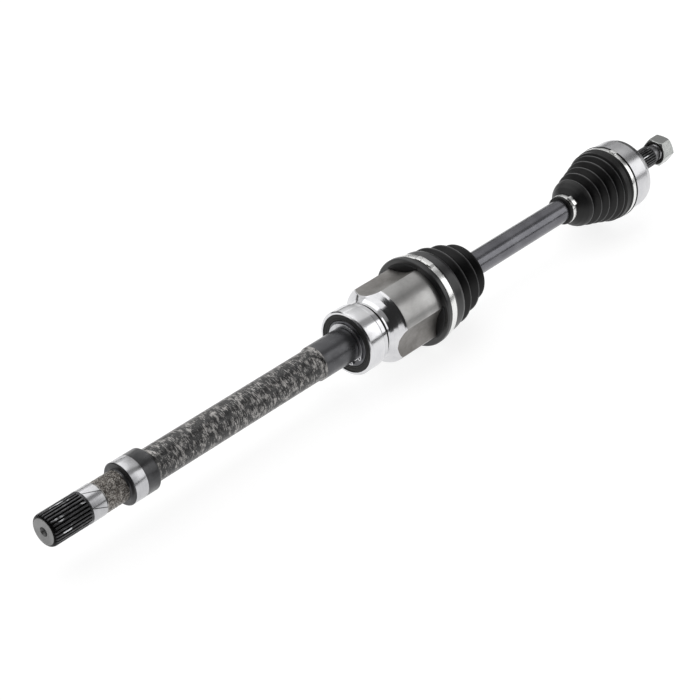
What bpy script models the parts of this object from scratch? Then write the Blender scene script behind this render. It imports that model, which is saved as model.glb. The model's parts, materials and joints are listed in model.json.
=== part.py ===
"""CV axle of a front-wheel-drive car, right-hand side: an intermediate shaft with its support bearing and
its tripod housing, a half shaft, and a fixed ball joint with its splined stub and nut, all on one line.

The axle's line is the X axis, with the gearbox end at -X, the wheel end at +X and the origin halfway.
Stations along the axle are measured in x, and sizes across it are radii."""

import math

import bmesh
import bpy
from mathutils import Matrix, Vector

MM = 0.001
GAP = 0.3 * MM

# Turned pieces have this many sides.
FINE = 28
MEDIUM = 20
COARSE = 12
JOINT_SIDES = 30
VALLEY_SIDES = 84

# The axle from end to end.
AXLE_LENGTH = 973.0 * MM
GEARBOX_END = -AXLE_LENGTH / 2
WHEEL_END = AXLE_LENGTH / 2

# Intermediate shaft.
SPLINE_R = 16.8 * MM
SPLINE_ROOT_R = 15.4 * MM
GEARBOX_TEETH = 28
SPLINE_END = GEARBOX_END + 44.0 * MM
PILOT_END = SPLINE_END + 19.0 * MM
PILOT_R = 17.0 * MM
NECK_END = PILOT_END + 30.0 * MM
NECK_R = 16.3 * MM
SEAL_LAND_END = NECK_END + 33.0 * MM
SEAL_LAND_R = 22.5 * MM
BAR_END = SEAL_LAND_END + 229.0 * MM
BAR_R = 17.5 * MM
BEARING_FACE = BAR_END + 52.0 * MM
SEAT_R = 19.7 * MM
RELIEF_R = 19.0 * MM

# Support bearing, 40 x 72 x 20 mm.
BEARING_WIDTH = 20.0 * MM
BEARING_BORE_R = 20.0 * MM
BEARING_OUTER_R = 36.0 * MM
BEARING_CENTRE = BEARING_FACE + BEARING_WIDTH / 2
INNER_LAND_R = 25.6 * MM
OUTER_LAND_R = 30.6 * MM
SEAL_RECESS_R = 33.8 * MM
SEAL_RECESS = 2.8 * MM
BEARING_PITCH_R = 28.1 * MM
BEARING_BALL_R = 4.7 * MM
RACEWAY_R = 5.0 * MM
BEARING_BALLS = 9
BEARING_CAGE = (27.0 * MM, 29.2 * MM)
BEARING_CAGE_HALF_WIDTH = 6.3 * MM
POCKET_R = 5.15 * MM
CIRCLIP_R = 23.4 * MM
CIRCLIP_OPENING = math.radians(225.0)
CIRCLIP_HALF_GAP = 4.5 * MM

# Tripod joint at the inner end of the half shaft.
TRIPOD_X = BEARING_FACE + 99.0 * MM
TULIP_R = 43.5 * MM
TULIP_START = BEARING_FACE + 48.0 * MM
TULIP_END = BEARING_FACE + 123.0 * MM
TULIP_FLOOR = BEARING_FACE + 58.0 * MM
LOBE_ANGLES = [math.radians(9.0 + 120.0 * i) for i in range(3)]
VALLEY_R = 35.8 * MM
VALLEY_ARC_R = 56.7 * MM
TULIP_BORE_R = 24.0 * MM
MOUTH_R = 29.0 * MM
TRACK_HALF_WIDTH = 16.5 * MM
TRACK_DEPTH_R = 35.6 * MM
SPIDER_R = 18.5 * MM
SPIDER_HALF_WIDTH = 11.0 * MM
TRUNNION_R = 9.4 * MM
ROLLER_PITCH_R = 25.5 * MM
ROLLER_R = 14.5 * MM
ROLLER_HALF_WIDTH = 5.5 * MM
ROLLER_BORE_R = 11.5 * MM
NEEDLES = (9.75 * MM, 11.15 * MM)
ROLLER_CLIP = (8.85 * MM, 10.6 * MM)

# Half shaft.
HALFSHAFT_R = 13.5 * MM
HALFSHAFT_NECK_R = 12.2 * MM
HALFSHAFT_SPLINE_R = 11.7 * MM
HUB_BORE_R = 12.0 * MM
HALFSHAFT_GROOVE_R = 10.6 * MM
HALFSHAFT_CLIP = (11.1 * MM, 13.4 * MM)

# Fixed ball joint at the wheel end.
CV_X = BEARING_FACE + 450.0 * MM
BELL_R = 42.0 * MM
BELL_SEAT_R = 40.6 * MM
BELL_MOUTH = CV_X - 15.0 * MM
BELL_SHOULDER = CV_X + 36.0 * MM
BELL_CAVITY_R = 32.4 * MM
BELL_CAVITY_DEPTH = 27.5 * MM
CV_BALLS = 6
CV_BALL_R = 8.0 * MM
CV_PITCH_R = 28.0 * MM
GROOVE_R = 9.9 * MM
GROOVE_REACH = math.radians(38.0)
CAGE_OUTER_R = 32.0 * MM
CAGE_INNER_R = 27.6 * MM
CAGE_HALF_WIDTH = 13.0 * MM
RACE_R = 27.2 * MM
RACE_HALF_WIDTH = 11.5 * MM
WINDOW = (8.3 * MM, 8.9 * MM)
STUB_R = 12.6 * MM
STUB_ROOT_R = 11.6 * MM
STUB_TEETH = 26
STUB_SPLINE_START = BELL_SHOULDER + 3.0 * MM
STUB_SPLINE_END = BELL_SHOULDER + 49.0 * MM
THREAD_R = 10.2 * MM

# Axle nut.
NUT_FLATS = 30.0 * MM
NUT_THICKNESS = 18.5 * MM
NUT_X = WHEEL_END - 10.0 * MM

# Boots.
RUBBER = 1.8 * MM
INNER_CUFF = (BEARING_FACE + 103.5 * MM, BEARING_FACE + 119.5 * MM)
INNER_CUFF_BORE_R = 45.9 * MM
OUTER_CUFF = (BEARING_FACE + 436.5 * MM, BEARING_FACE + 453.0 * MM)


def clear_scene():
    for obj in list(bpy.data.objects):
        bpy.data.objects.remove(obj, do_unlink=True)


def new_collection(name):
    made = bpy.data.collections.new(name)
    bpy.context.scene.collection.children.link(made)
    return made


def new_material(name, colour, metallic, roughness):
    made = bpy.data.materials.new(name)
    made.use_nodes = True
    shader = made.node_tree.nodes["Principled BSDF"]
    shader.inputs["Base Color"].default_value = (*colour, 1.0)
    shader.inputs["Metallic"].default_value = metallic
    shader.inputs["Roughness"].default_value = roughness
    return made


def new_empty(name, x):
    made = bpy.data.objects.new(name, None)
    made.location = (x, 0.0, 0.0)
    parts.objects.link(made)
    return made


def along_axle():
    """Turns a piece's own Z axis onto the axle's line."""
    return Matrix.Rotation(math.radians(90.0), 4, "Y")


def outwards(angle):
    """Turns a piece's own Z axis to point away from the axle's line, at this angle from +Y towards +Z."""
    direction = Vector((0.0, math.cos(angle), math.sin(angle)))
    return direction.to_track_quat("Z", "Y").to_matrix().to_4x4()


def add_object(name, mesh, finish=None, parent=None):
    """Adds a mesh as a part or, when it has no finish, as a cutter."""
    made = bpy.data.objects.new(name, mesh)
    if finish is None:
        cutters.objects.link(made)
        made.hide_render = True
        made.display_type = "WIRE"
    else:
        parts.objects.link(made)
        mesh.materials.append(finish)
    made.parent = parent
    return made


def place(obj, turn, point):
    """Puts the object's origin at this point of the axle, turned by this matrix."""
    home = obj.parent.location if obj.parent else Vector()
    obj.rotation_euler = turn.to_euler()
    obj.location = Vector(point) - home
    return obj


def turned(name, outline, sides, finish=None, parent=None, station=None, turn=None, point=None):
    """A turned piece. Its outline is a list of (x, radius) that runs along the outside towards +X.
    It starts and ends on the axis for a solid piece, and otherwise comes back along the bore."""
    if station is None:
        station = parent.location.x if parent else 0.0
    solid = outline[0][1] == 0.0 and outline[-1][1] == 0.0
    points = [(radius, 0.0, x - station) for x, radius in reversed(outline)]
    edges = [(i, i + 1) for i in range(len(points) - 1)]
    if not solid:
        edges.append((len(points) - 1, 0))
    mesh = bpy.data.meshes.new(name)
    mesh.from_pydata(points, edges, [])
    made = add_object(name, mesh, finish, parent)
    screw = made.modifiers.new("turn", "SCREW")
    screw.axis = "Z"
    screw.angle = math.tau
    screw.steps = screw.render_steps = sides
    screw.use_merge_vertices = True
    screw.merge_threshold = 0.00001
    return place(made, turn or along_axle(), point or (station, 0.0, 0.0))


def ring(start, end, outer_r, inner_r):
    return [(start, inner_r), (start, outer_r), (end, outer_r), (end, inner_r)]


def round_points(centre_x, centre_r, radius, start, end, count):
    """Points on an arc, with its angles in degrees from +X towards the outside."""
    steps = [math.radians(start + (end - start) * i / (count - 1)) for i in range(count)]
    return [(centre_x + radius * math.cos(a), centre_r + radius * math.sin(a)) for a in steps]


def primitive(name, build, finish=None, parent=None):
    """An object whose mesh is filled by a function that takes an empty bmesh."""
    mesh = bpy.data.meshes.new(name)
    bm = bmesh.new()
    build(bm)
    bmesh.ops.recalc_face_normals(bm, faces=bm.faces)
    bm.to_mesh(mesh)
    bm.free()
    return add_object(name, mesh, finish, parent)


def rod(name, radius, start, end, sides, turn, finish=None):
    """A straight rod on its own Z axis, from start to end, with its origin on the axle's line."""

    def build(bm):
        middle = Matrix.Translation((0.0, 0.0, (start + end) / 2))
        size = {"radius1": radius, "radius2": radius, "depth": end - start}
        bmesh.ops.create_cone(bm, cap_ends=True, segments=sides, matrix=middle, **size)

    return place(primitive(name, build, finish), turn, (0.0, 0.0, 0.0))


def block(name, low, high, turn, point, finish=None, parent=None):
    """A box between two corners, in its own axes."""

    def build(bm):
        size = Vector(high) - Vector(low)
        middle = Matrix.Translation((Vector(high) + Vector(low)) / 2)
        bmesh.ops.create_cube(bm, size=1.0, matrix=middle @ Matrix.Diagonal((*size, 1.0)))

    return place(primitive(name, build, finish, parent), turn, point)


def toothed_rod(name, start, end, tip_r, root_r, teeth):
    """A rod with straight-sided teeth along its whole length."""
    corners = 4 * teeth

    def build(bm):
        middle = Matrix.Translation((0.0, 0.0, (start + end) / 2))
        bmesh.ops.create_cone(
            bm, cap_ends=True, segments=corners, radius1=1.0, radius2=1.0, depth=end - start, matrix=middle
        )
        for vert in bm.verts:
            corner = round(math.atan2(vert.co.y, vert.co.x) / math.tau * corners)
            radius = tip_r if corner % 4 < 2 else root_r
            vert.co.x *= radius
            vert.co.y *= radius

    return place(primitive(name, build), along_axle(), (0.0, 0.0, 0.0))


def boolean(obj, operation, other):
    made = obj.modifiers.new(operation.lower(), "BOOLEAN")
    made.operation = operation
    made.object = other
    made.solver = "EXACT"


def cut(obj, *others):
    for other in others:
        boolean(obj, "DIFFERENCE", other)


def join(obj, *others):
    for other in others:
        boolean(obj, "UNION", other)


def valley_cutters(name, arc_r):
    """Three big cylinders that scoop the valleys between the tripod housing's lobes."""
    made = []
    for i, angle in enumerate(LOBE_ANGLES):
        valley = angle + math.radians(60.0)
        start, end = BEARING_FACE + 30.0 * MM, TULIP_END + 8.0 * MM
        cutter = rod(f"{name}_{i + 1}", arc_r, start, end, VALLEY_SIDES, along_axle())
        reach = VALLEY_R + VALLEY_ARC_R
        cutter.location = (0.0, reach * math.cos(valley), reach * math.sin(valley))
        made.append(cutter)
    return made


def intermediate_shaft():
    """The forging that the gearbox drives, with the tripod housing on its far end."""
    face = BEARING_FACE
    outline = [
        (GEARBOX_END + 0.8 * MM, 0.0),
        (GEARBOX_END + 0.8 * MM, SPLINE_ROOT_R - 0.8 * MM),
        (GEARBOX_END + 3.0 * MM, SPLINE_ROOT_R - 0.2 * MM),
        (SPLINE_END - 0.5 * MM, SPLINE_ROOT_R - 0.2 * MM),
        (SPLINE_END + 1.5 * MM, PILOT_R),
        (PILOT_END, PILOT_R),
        (PILOT_END + 2.0 * MM, NECK_R),
        (NECK_END - 2.0 * MM, NECK_R),
        (NECK_END, SEAL_LAND_R - 1.0 * MM),
        (NECK_END + 1.0 * MM, SEAL_LAND_R),
        (SEAL_LAND_END - 1.5 * MM, SEAL_LAND_R),
        (SEAL_LAND_END, SEAL_LAND_R - 1.5 * MM),
        (SEAL_LAND_END + 3.0 * MM, BAR_R),
        (BAR_END, BAR_R),
        (BAR_END + 2.0 * MM, RELIEF_R),
        (face - 2.4 * MM, RELIEF_R),
        (face - 2.4 * MM, RELIEF_R - 0.7 * MM),
        (face - 0.1 * MM, RELIEF_R - 0.7 * MM),
        (face - 0.1 * MM, SEAT_R),
        (face + BEARING_WIDTH + GAP, SEAT_R),
        (face + BEARING_WIDTH + 0.6 * MM, 33.4 * MM),
        (face + 27.0 * MM, 33.8 * MM),
        (face + 28.2 * MM, 30.4 * MM),
        (face + 31.0 * MM, 30.4 * MM),
        (face + 34.0 * MM, 31.4 * MM),
        (face + 38.0 * MM, 33.6 * MM),
        (face + 42.0 * MM, 37.4 * MM),
        (face + 45.6 * MM, 41.8 * MM),
        (TULIP_START, TULIP_R),
        (TULIP_END - 1.2 * MM, TULIP_R),
        (TULIP_END, TULIP_R - 1.2 * MM),
        (TULIP_END, MOUTH_R),
        (TULIP_END - 12.0 * MM, TULIP_BORE_R),
        (TULIP_FLOOR, TULIP_BORE_R),
        (TULIP_FLOOR, 0.0),
    ]
    shaft = turned("intermediate_shaft", outline, FINE, dark_steel, driveline)
    splines = toothed_rod(
        "gearbox_spline_teeth", GEARBOX_END, SPLINE_END, SPLINE_R, SPLINE_ROOT_R, GEARBOX_TEETH
    )
    join(shaft, splines)
    cut(shaft, *valley_cutters("valley_cutter", VALLEY_ARC_R))
    for i, angle in enumerate(LOBE_ANGLES):
        track = block(
            f"track_cutter_{i + 1}",
            (TULIP_FLOOR, -TRACK_HALF_WIDTH, 0.0),
            (TULIP_END + 5.0 * MM, TRACK_HALF_WIDTH, TRACK_DEPTH_R),
            Matrix.Rotation(angle - math.radians(90.0), 4, "X"),
            (0.0, 0.0, 0.0),
        )
        cut(shaft, track)


def support_bearing():
    """A sealed deep-groove ball bearing, whose outer ring is what the engine bracket holds."""
    face = BEARING_FACE
    back = face + BEARING_WIDTH
    chamfer = 1.0 * MM
    raceway = RACEWAY_R * math.cos(math.radians(30.0))
    outer = [
        (face, BEARING_OUTER_R - chamfer),
        (face + chamfer, BEARING_OUTER_R),
        (back - chamfer, BEARING_OUTER_R),
        (back, BEARING_OUTER_R - chamfer),
        (back, SEAL_RECESS_R),
        (back - SEAL_RECESS, SEAL_RECESS_R),
        (back - SEAL_RECESS, OUTER_LAND_R),
        (BEARING_CENTRE + raceway, OUTER_LAND_R),
        *round_points(BEARING_CENTRE, BEARING_PITCH_R, RACEWAY_R, 60.0, 120.0, 3),
        (BEARING_CENTRE - raceway, OUTER_LAND_R),
        (face + SEAL_RECESS, OUTER_LAND_R),
        (face + SEAL_RECESS, SEAL_RECESS_R),
        (face, SEAL_RECESS_R),
    ]
    turned("bearing_outer_ring", outer, FINE, ground_steel, bearing)
    for side, start in (("gearbox", face + 0.7 * MM), ("wheel", back - 2.4 * MM)):
        seal = ring(start, start + 1.7 * MM, SEAL_RECESS_R - GAP, INNER_LAND_R + GAP)
        turned(f"bearing_seal_{side}_side", seal, FINE, black_rubber, bearing)
    inner = [
        (face, BEARING_BORE_R),
        (face, INNER_LAND_R - 0.5 * MM),
        (face + 0.5 * MM, INNER_LAND_R),
        (BEARING_CENTRE - raceway, INNER_LAND_R),
        *round_points(BEARING_CENTRE, BEARING_PITCH_R, RACEWAY_R, 240.0, 300.0, 3),
        (BEARING_CENTRE + raceway, INNER_LAND_R),
        (back - 0.5 * MM, INNER_LAND_R),
        (back, INNER_LAND_R - 0.5 * MM),
        (back, BEARING_BORE_R),
    ]
    turned("bearing_inner_ring", inner, FINE, ground_steel, bearing)
    cage = turned(
        "bearing_cage",
        ring(
            BEARING_CENTRE - BEARING_CAGE_HALF_WIDTH,
            BEARING_CENTRE + BEARING_CAGE_HALF_WIDTH,
            BEARING_CAGE[1],
            BEARING_CAGE[0],
        ),
        FINE - FINE % BEARING_BALLS + BEARING_BALLS,
        pale_steel,
        bearing,
    )
    for i in range(BEARING_BALLS):
        angle = math.tau * i / BEARING_BALLS
        pocket = rod(f"pocket_cutter_{i + 1}", POCKET_R, 20.0 * MM, 36.0 * MM, 10, outwards(angle))
        pocket.location.x = BEARING_CENTRE
        cut(cage, pocket)
        ball(f"bearing_ball_{i + 1}", BEARING_BALL_R, (8, 5), bearing, angle, BEARING_PITCH_R)
    circlip = turned(
        "bearing_circlip",
        ring(face - 2.0 * MM, face - 0.5 * MM, CIRCLIP_R, RELIEF_R - 0.4 * MM),
        FINE,
        pale_steel,
        driveline,
    )
    opening = block(
        "circlip_opening_cutter",
        (face - 4.0 * MM, -CIRCLIP_HALF_GAP, 10.0 * MM),
        (face + 2.0 * MM, CIRCLIP_HALF_GAP, 30.0 * MM),
        Matrix.Rotation(CIRCLIP_OPENING - math.radians(90.0), 4, "X"),
        (0.0, 0.0, 0.0),
    )
    cut(circlip, opening)


def ball(name, radius, detail, parent, angle, pitch_r):
    """A ball at this angle round its parent's centre, on this pitch radius."""

    def build(bm):
        bmesh.ops.create_uvsphere(bm, u_segments=detail[0], v_segments=detail[1], radius=radius)

    made = primitive(name, build, ground_steel, parent)
    centre = parent.location + Vector((0.0, pitch_r * math.cos(angle), pitch_r * math.sin(angle)))
    return place(made, outwards(angle), centre)


def tripod():
    """The spider on the half shaft's end, with a roller on needles on each of its three trunnions."""
    spider = turned(
        "tripod_spider",
        ring(TRIPOD_X - SPIDER_HALF_WIDTH, TRIPOD_X + SPIDER_HALF_WIDTH, SPIDER_R, HUB_BORE_R),
        MEDIUM,
        ground_steel,
        tripod_joint,
    )
    trunnion = [
        (13.5 * MM, 0.0),
        (13.5 * MM, TRUNNION_R),
        (31.3 * MM, TRUNNION_R),
        (31.3 * MM, 8.5 * MM),
        (32.8 * MM, 8.5 * MM),
        (32.8 * MM, 9.2 * MM),
        (33.6 * MM, 8.8 * MM),
        (33.6 * MM, 0.0),
    ]
    low = ROLLER_PITCH_R - ROLLER_HALF_WIDTH
    high = ROLLER_PITCH_R + ROLLER_HALF_WIDTH
    crown = math.degrees(math.asin(ROLLER_HALF_WIDTH / ROLLER_R))
    roller = [
        (low, ROLLER_BORE_R),
        *round_points(ROLLER_PITCH_R, 0.0, ROLLER_R, 90.0 + crown, 90.0 - crown, 5),
        (high, ROLLER_BORE_R),
    ]
    needles = ring(low + 0.2 * MM, high - 0.2 * MM, NEEDLES[1], NEEDLES[0])
    roller_clip = ring(31.5 * MM, 32.6 * MM, ROLLER_CLIP[1], ROLLER_CLIP[0])
    centre = tripod_joint.location
    for i, angle in enumerate(LOBE_ANGLES):
        pin = turned(f"trunnion_{i + 1}", trunnion, COARSE, station=0.0, turn=outwards(angle), point=centre)
        join(spider, pin)
        for name, outline, sides, finish in (
            ("needle_sleeve", needles, COARSE, pale_steel),
            ("roller", roller, MEDIUM, ground_steel),
            ("roller_clip", roller_clip, COARSE, pale_steel),
        ):
            turned(f"{name}_{i + 1}", outline, sides, finish, tripod_joint, 0.0, outwards(angle), centre)
    end = TRIPOD_X - SPIDER_HALF_WIDTH
    clip = ring(end - 1.7 * MM, end - GAP, HALFSHAFT_CLIP[1], HALFSHAFT_CLIP[0])
    turned("spider_circlip", clip, COARSE, pale_steel, tripod_joint)


def half_shaft():
    """The bar between the two joints, grooved for a circlip at each end."""
    start = TRIPOD_X - 14.0 * MM
    end = CV_X + 14.0 * MM
    groove_1 = TRIPOD_X - SPIDER_HALF_WIDTH - 2.0 * MM
    groove_2 = CV_X + RACE_HALF_WIDTH
    outline = [
        (start, 0.0),
        (start, HALFSHAFT_SPLINE_R),
        (groove_1, HALFSHAFT_SPLINE_R),
        (groove_1, HALFSHAFT_GROOVE_R),
        (groove_1 + 2.0 * MM, HALFSHAFT_GROOVE_R),
        (groove_1 + 2.0 * MM, HALFSHAFT_SPLINE_R),
        (TRIPOD_X + 12.0 * MM, HALFSHAFT_SPLINE_R),
        (TRIPOD_X + 13.0 * MM, HALFSHAFT_NECK_R),
        (TRIPOD_X + 40.0 * MM, HALFSHAFT_NECK_R),
        (TRIPOD_X + 60.0 * MM, HALFSHAFT_R),
        (CV_X - 66.0 * MM, HALFSHAFT_R),
        (CV_X - 46.0 * MM, HALFSHAFT_NECK_R),
        (CV_X - 13.0 * MM, HALFSHAFT_NECK_R),
        (CV_X - 12.0 * MM, HALFSHAFT_SPLINE_R),
        (groove_2, HALFSHAFT_SPLINE_R),
        (groove_2, HALFSHAFT_GROOVE_R),
        (groove_2 + 2.0 * MM, HALFSHAFT_GROOVE_R),
        (groove_2 + 2.0 * MM, HALFSHAFT_SPLINE_R - 0.5 * MM),
        (end, HALFSHAFT_SPLINE_R - 0.9 * MM),
        (end, 0.0),
    ]
    turned("halfshaft", outline, MEDIUM, painted_steel, tripod_joint)


def groove_cutters():
    """Six bent tubes, one along each ball's path, which cut both the bell and the inner race."""
    made = []
    for i in range(CV_BALLS):
        angle = math.tau * i / CV_BALLS

        def build(bm):
            upright = Matrix.Rotation(math.radians(90.0), 4, "Y")
            outside = Matrix.Translation((0.0, 0.0, CV_PITCH_R)) @ upright
            first = Matrix.Rotation(-GROOVE_REACH, 4, "Y") @ outside
            bmesh.ops.create_circle(bm, cap_ends=True, segments=12, radius=GROOVE_R, matrix=first)
            bmesh.ops.spin(
                bm,
                geom=bm.verts[:] + bm.edges[:] + bm.faces[:],
                cent=(0.0, 0.0, 0.0),
                axis=(0.0, 1.0, 0.0),
                angle=2 * GROOVE_REACH,
                steps=8,
            )
            bmesh.ops.holes_fill(bm, edges=bm.edges)

        cutter = primitive(f"groove_cutter_{i + 1}", build)
        made.append(place(cutter, Matrix.Rotation(angle - math.radians(90.0), 4, "X"), (CV_X, 0.0, 0.0)))
    return made


def sphere_band(radius, half_width, count):
    """The outside of a ball-shaped ring round the fixed joint's centre."""
    edge = math.degrees(math.asin(half_width / radius))
    return round_points(CV_X, 0.0, radius, 90.0 + edge, 90.0 - edge, count)


def fixed_joint():
    """The ball joint: inner race, caged balls, and the bell with its stub."""
    grooves = groove_cutters()
    race_outline = [
        (CV_X - RACE_HALF_WIDTH, HUB_BORE_R),
        *sphere_band(RACE_R, RACE_HALF_WIDTH, 7),
        (CV_X + RACE_HALF_WIDTH, HUB_BORE_R),
    ]
    race = turned("cv_inner_race", race_outline, JOINT_SIDES, ground_steel, cv_joint)
    cut(race, *grooves)
    cage_outline = [
        *sphere_band(CAGE_OUTER_R, CAGE_HALF_WIDTH, 6),
        *reversed(sphere_band(CAGE_INNER_R, CAGE_HALF_WIDTH, 6)),
    ]
    cage = turned("cv_ball_cage", cage_outline, JOINT_SIDES, ground_steel, cv_joint)
    for i in range(CV_BALLS):
        angle = math.tau * i / CV_BALLS
        window = block(
            f"window_cutter_{i + 1}",
            (-WINDOW[0], -WINDOW[1], 20.0 * MM),
            (WINDOW[0], WINDOW[1], 40.0 * MM),
            Matrix.Rotation(angle - math.radians(90.0), 4, "X"),
            (CV_X, 0.0, 0.0),
        )
        cut(cage, window)
        ball(f"cv_ball_{i + 1}", CV_BALL_R, (10, 7), cv_joint, angle, CV_PITCH_R)
    end = CV_X + RACE_HALF_WIDTH
    clip = ring(end + GAP, end + 1.7 * MM, HALFSHAFT_CLIP[1], HALFSHAFT_CLIP[0])
    turned("race_circlip", clip, COARSE, pale_steel, cv_joint)

    floor_angle = math.degrees(math.acos(BELL_CAVITY_DEPTH / BELL_CAVITY_R))
    outline = [
        (CV_X + BELL_CAVITY_DEPTH, 0.0),
        *round_points(CV_X, 0.0, BELL_CAVITY_R, floor_angle, 112.7, 7),
        (BELL_MOUTH, 33.6 * MM),
        (BELL_MOUTH, BELL_SEAT_R),
        (CV_X + 3.3 * MM, BELL_SEAT_R),
        (CV_X + 3.9 * MM, BELL_R),
        (CV_X + 26.0 * MM, BELL_R),
        (CV_X + 31.0 * MM, BELL_R - 1.0 * MM),
        (BELL_SHOULDER - 1.5 * MM, 37.7 * MM),
        (BELL_SHOULDER, 35.6 * MM),
        (BELL_SHOULDER, 13.6 * MM),
        (STUB_SPLINE_START, STUB_ROOT_R - 0.2 * MM),
        (STUB_SPLINE_END, STUB_ROOT_R - 0.2 * MM),
        (STUB_SPLINE_END + 2.0 * MM, THREAD_R),
        (WHEEL_END - 1.0 * MM, THREAD_R),
        (WHEEL_END, THREAD_R - 1.0 * MM),
        (WHEEL_END, 0.0),
    ]
    bell = turned("cv_bell_and_stub", outline, JOINT_SIDES, ground_steel, cv_joint)
    cut(bell, *grooves)
    span = (STUB_SPLINE_START, STUB_SPLINE_END)
    join(bell, toothed_rod("stub_spline_teeth", *span, STUB_R, STUB_ROOT_R, STUB_TEETH))


def axle_nut():
    """A hexagon nut with both its ends chamfered, run onto the stub's thread."""
    corner_r = NUT_FLATS / 2 / math.cos(math.radians(30.0))
    half = NUT_THICKNESS / 2
    chamfer = [
        (NUT_X - half, THREAD_R + GAP),
        (NUT_X - half, NUT_FLATS / 2 - 0.4 * MM),
        (NUT_X - half + 1.8 * MM, corner_r + 0.2 * MM),
        (NUT_X + half - 1.8 * MM, corner_r + 0.2 * MM),
        (NUT_X + half, NUT_FLATS / 2 - 0.4 * MM),
        (NUT_X + half, THREAD_R + GAP),
    ]
    nut = turned("axle_nut", chamfer, MEDIUM, zinc_steel, cv_joint)
    hexagon = rod("nut_hexagon", corner_r, NUT_X - 12.0 * MM, NUT_X + 12.0 * MM, 6, along_axle())
    boolean(nut, "INTERSECT", hexagon)


def rubber_sleeve(name, outer, parent, sides=MEDIUM, thickness=RUBBER):
    """One stretch of a boot: this outside, and a bore that keeps the rubber's thickness."""
    outline = outer + [(x, radius - thickness) for x, radius in reversed(outer)]
    return turned(name, outline, sides, black_rubber, parent)


def stations(base, points):
    """Turns (x, radius) in millimetres from a base station into metres along the axle."""
    return [(base + x * MM, radius * MM) for x, radius in points]


def clamp(name, start, end, bore_r, thickness, ear, ear_angle, sides, parent):
    """A steel band with its crimped ear, given as (width round the band, height, length along it)."""
    band = turned(name, ring(start, end, bore_r + thickness, bore_r), sides, pale_steel, parent)
    width, height, length = ear
    middle = (start + end) / 2
    top = bore_r + thickness + height
    lug = block(
        f"{name}_ear",
        (middle - length / 2, -width / 2, bore_r + 0.3 * thickness),
        (middle + length / 2, width / 2, top),
        Matrix.Rotation(math.radians(ear_angle - 90.0), 4, "X"),
        (0.0, 0.0, 0.0),
    )
    join(band, lug)


def inner_boot():
    """The rubber boot between the tripod housing and the half shaft, its lobed bush and its clamps."""
    start, end = INNER_CUFF
    bush_outline = [
        (start - 1.5 * MM, 0.0),
        (start - 1.5 * MM, INNER_CUFF_BORE_R - GAP),
        (end - 0.5 * MM, INNER_CUFF_BORE_R - GAP),
        (end - 0.5 * MM, 0.0),
    ]
    bush = turned("inner_boot_trilobe_bush", bush_outline, FINE, black_rubber, driveline)
    low, high = BEARING_FACE + 60.0 * MM, TULIP_END + 4.0 * MM
    gauge = rod("housing_gauge", TULIP_R + GAP, low, high, FINE, along_axle())
    cut(gauge, *valley_cutters("gauge_valley", VALLEY_ARC_R - GAP))
    cut(bush, gauge)
    cuff = [
        (start, INNER_CUFF_BORE_R),
        (start, 49.8 * MM),
        (start + 1.2 * MM, 50.8 * MM),
        (start + 5.6 * MM, 50.8 * MM),
        (start + 6.6 * MM, 48.3 * MM),
        (end, 48.3 * MM),
        (end, INNER_CUFF_BORE_R),
    ]
    turned("inner_boot_large_cuff", cuff, FINE, black_rubber, driveline)
    clamp(
        "inner_boot_large_clamp",
        start + 7.5 * MM,
        start + 15.0 * MM,
        48.6 * MM,
        1.2 * MM,
        (16.0 * MM, 1.4 * MM, 6.0 * MM),
        104.0,
        FINE,
        driveline,
    )
    plunging = [(119.8, 47.4), (123.0, 46.6), (133.0, 47.0), (139.85, 38.6)]
    tilting = [(140.15, 38.6), (147.2, 44.9), (157.85, 31.4)]
    swinging = [(158.15, 31.4), (166.9, 39.9), (175.5, 26.0), (184.0, 33.4), (188.7, 26.0), (189.7, 17.0)]
    for name, points in (("plunging", plunging), ("tilting", tilting), ("swinging", swinging)):
        rubber_sleeve(f"inner_boot_{name}_pleats", stations(BEARING_FACE, points), tripod_joint)
    small = [(190.0, 17.0), (191.0, 17.0), (191.2, 15.9), (197.4, 15.9), (197.6, 17.0), (199.8, 16.6)]
    small = stations(BEARING_FACE, small + [(199.8, 13.8), (190.0, 13.8)])
    turned("inner_boot_small_cuff", small, MEDIUM, black_rubber, tripod_joint)
    clamp(
        "inner_boot_small_clamp",
        BEARING_FACE + 191.4 * MM,
        BEARING_FACE + 197.2 * MM,
        16.2 * MM,
        0.9 * MM,
        (7.0 * MM, 3.0 * MM, 5.4 * MM),
        60.0,
        MEDIUM,
        tripod_joint,
    )


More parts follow.
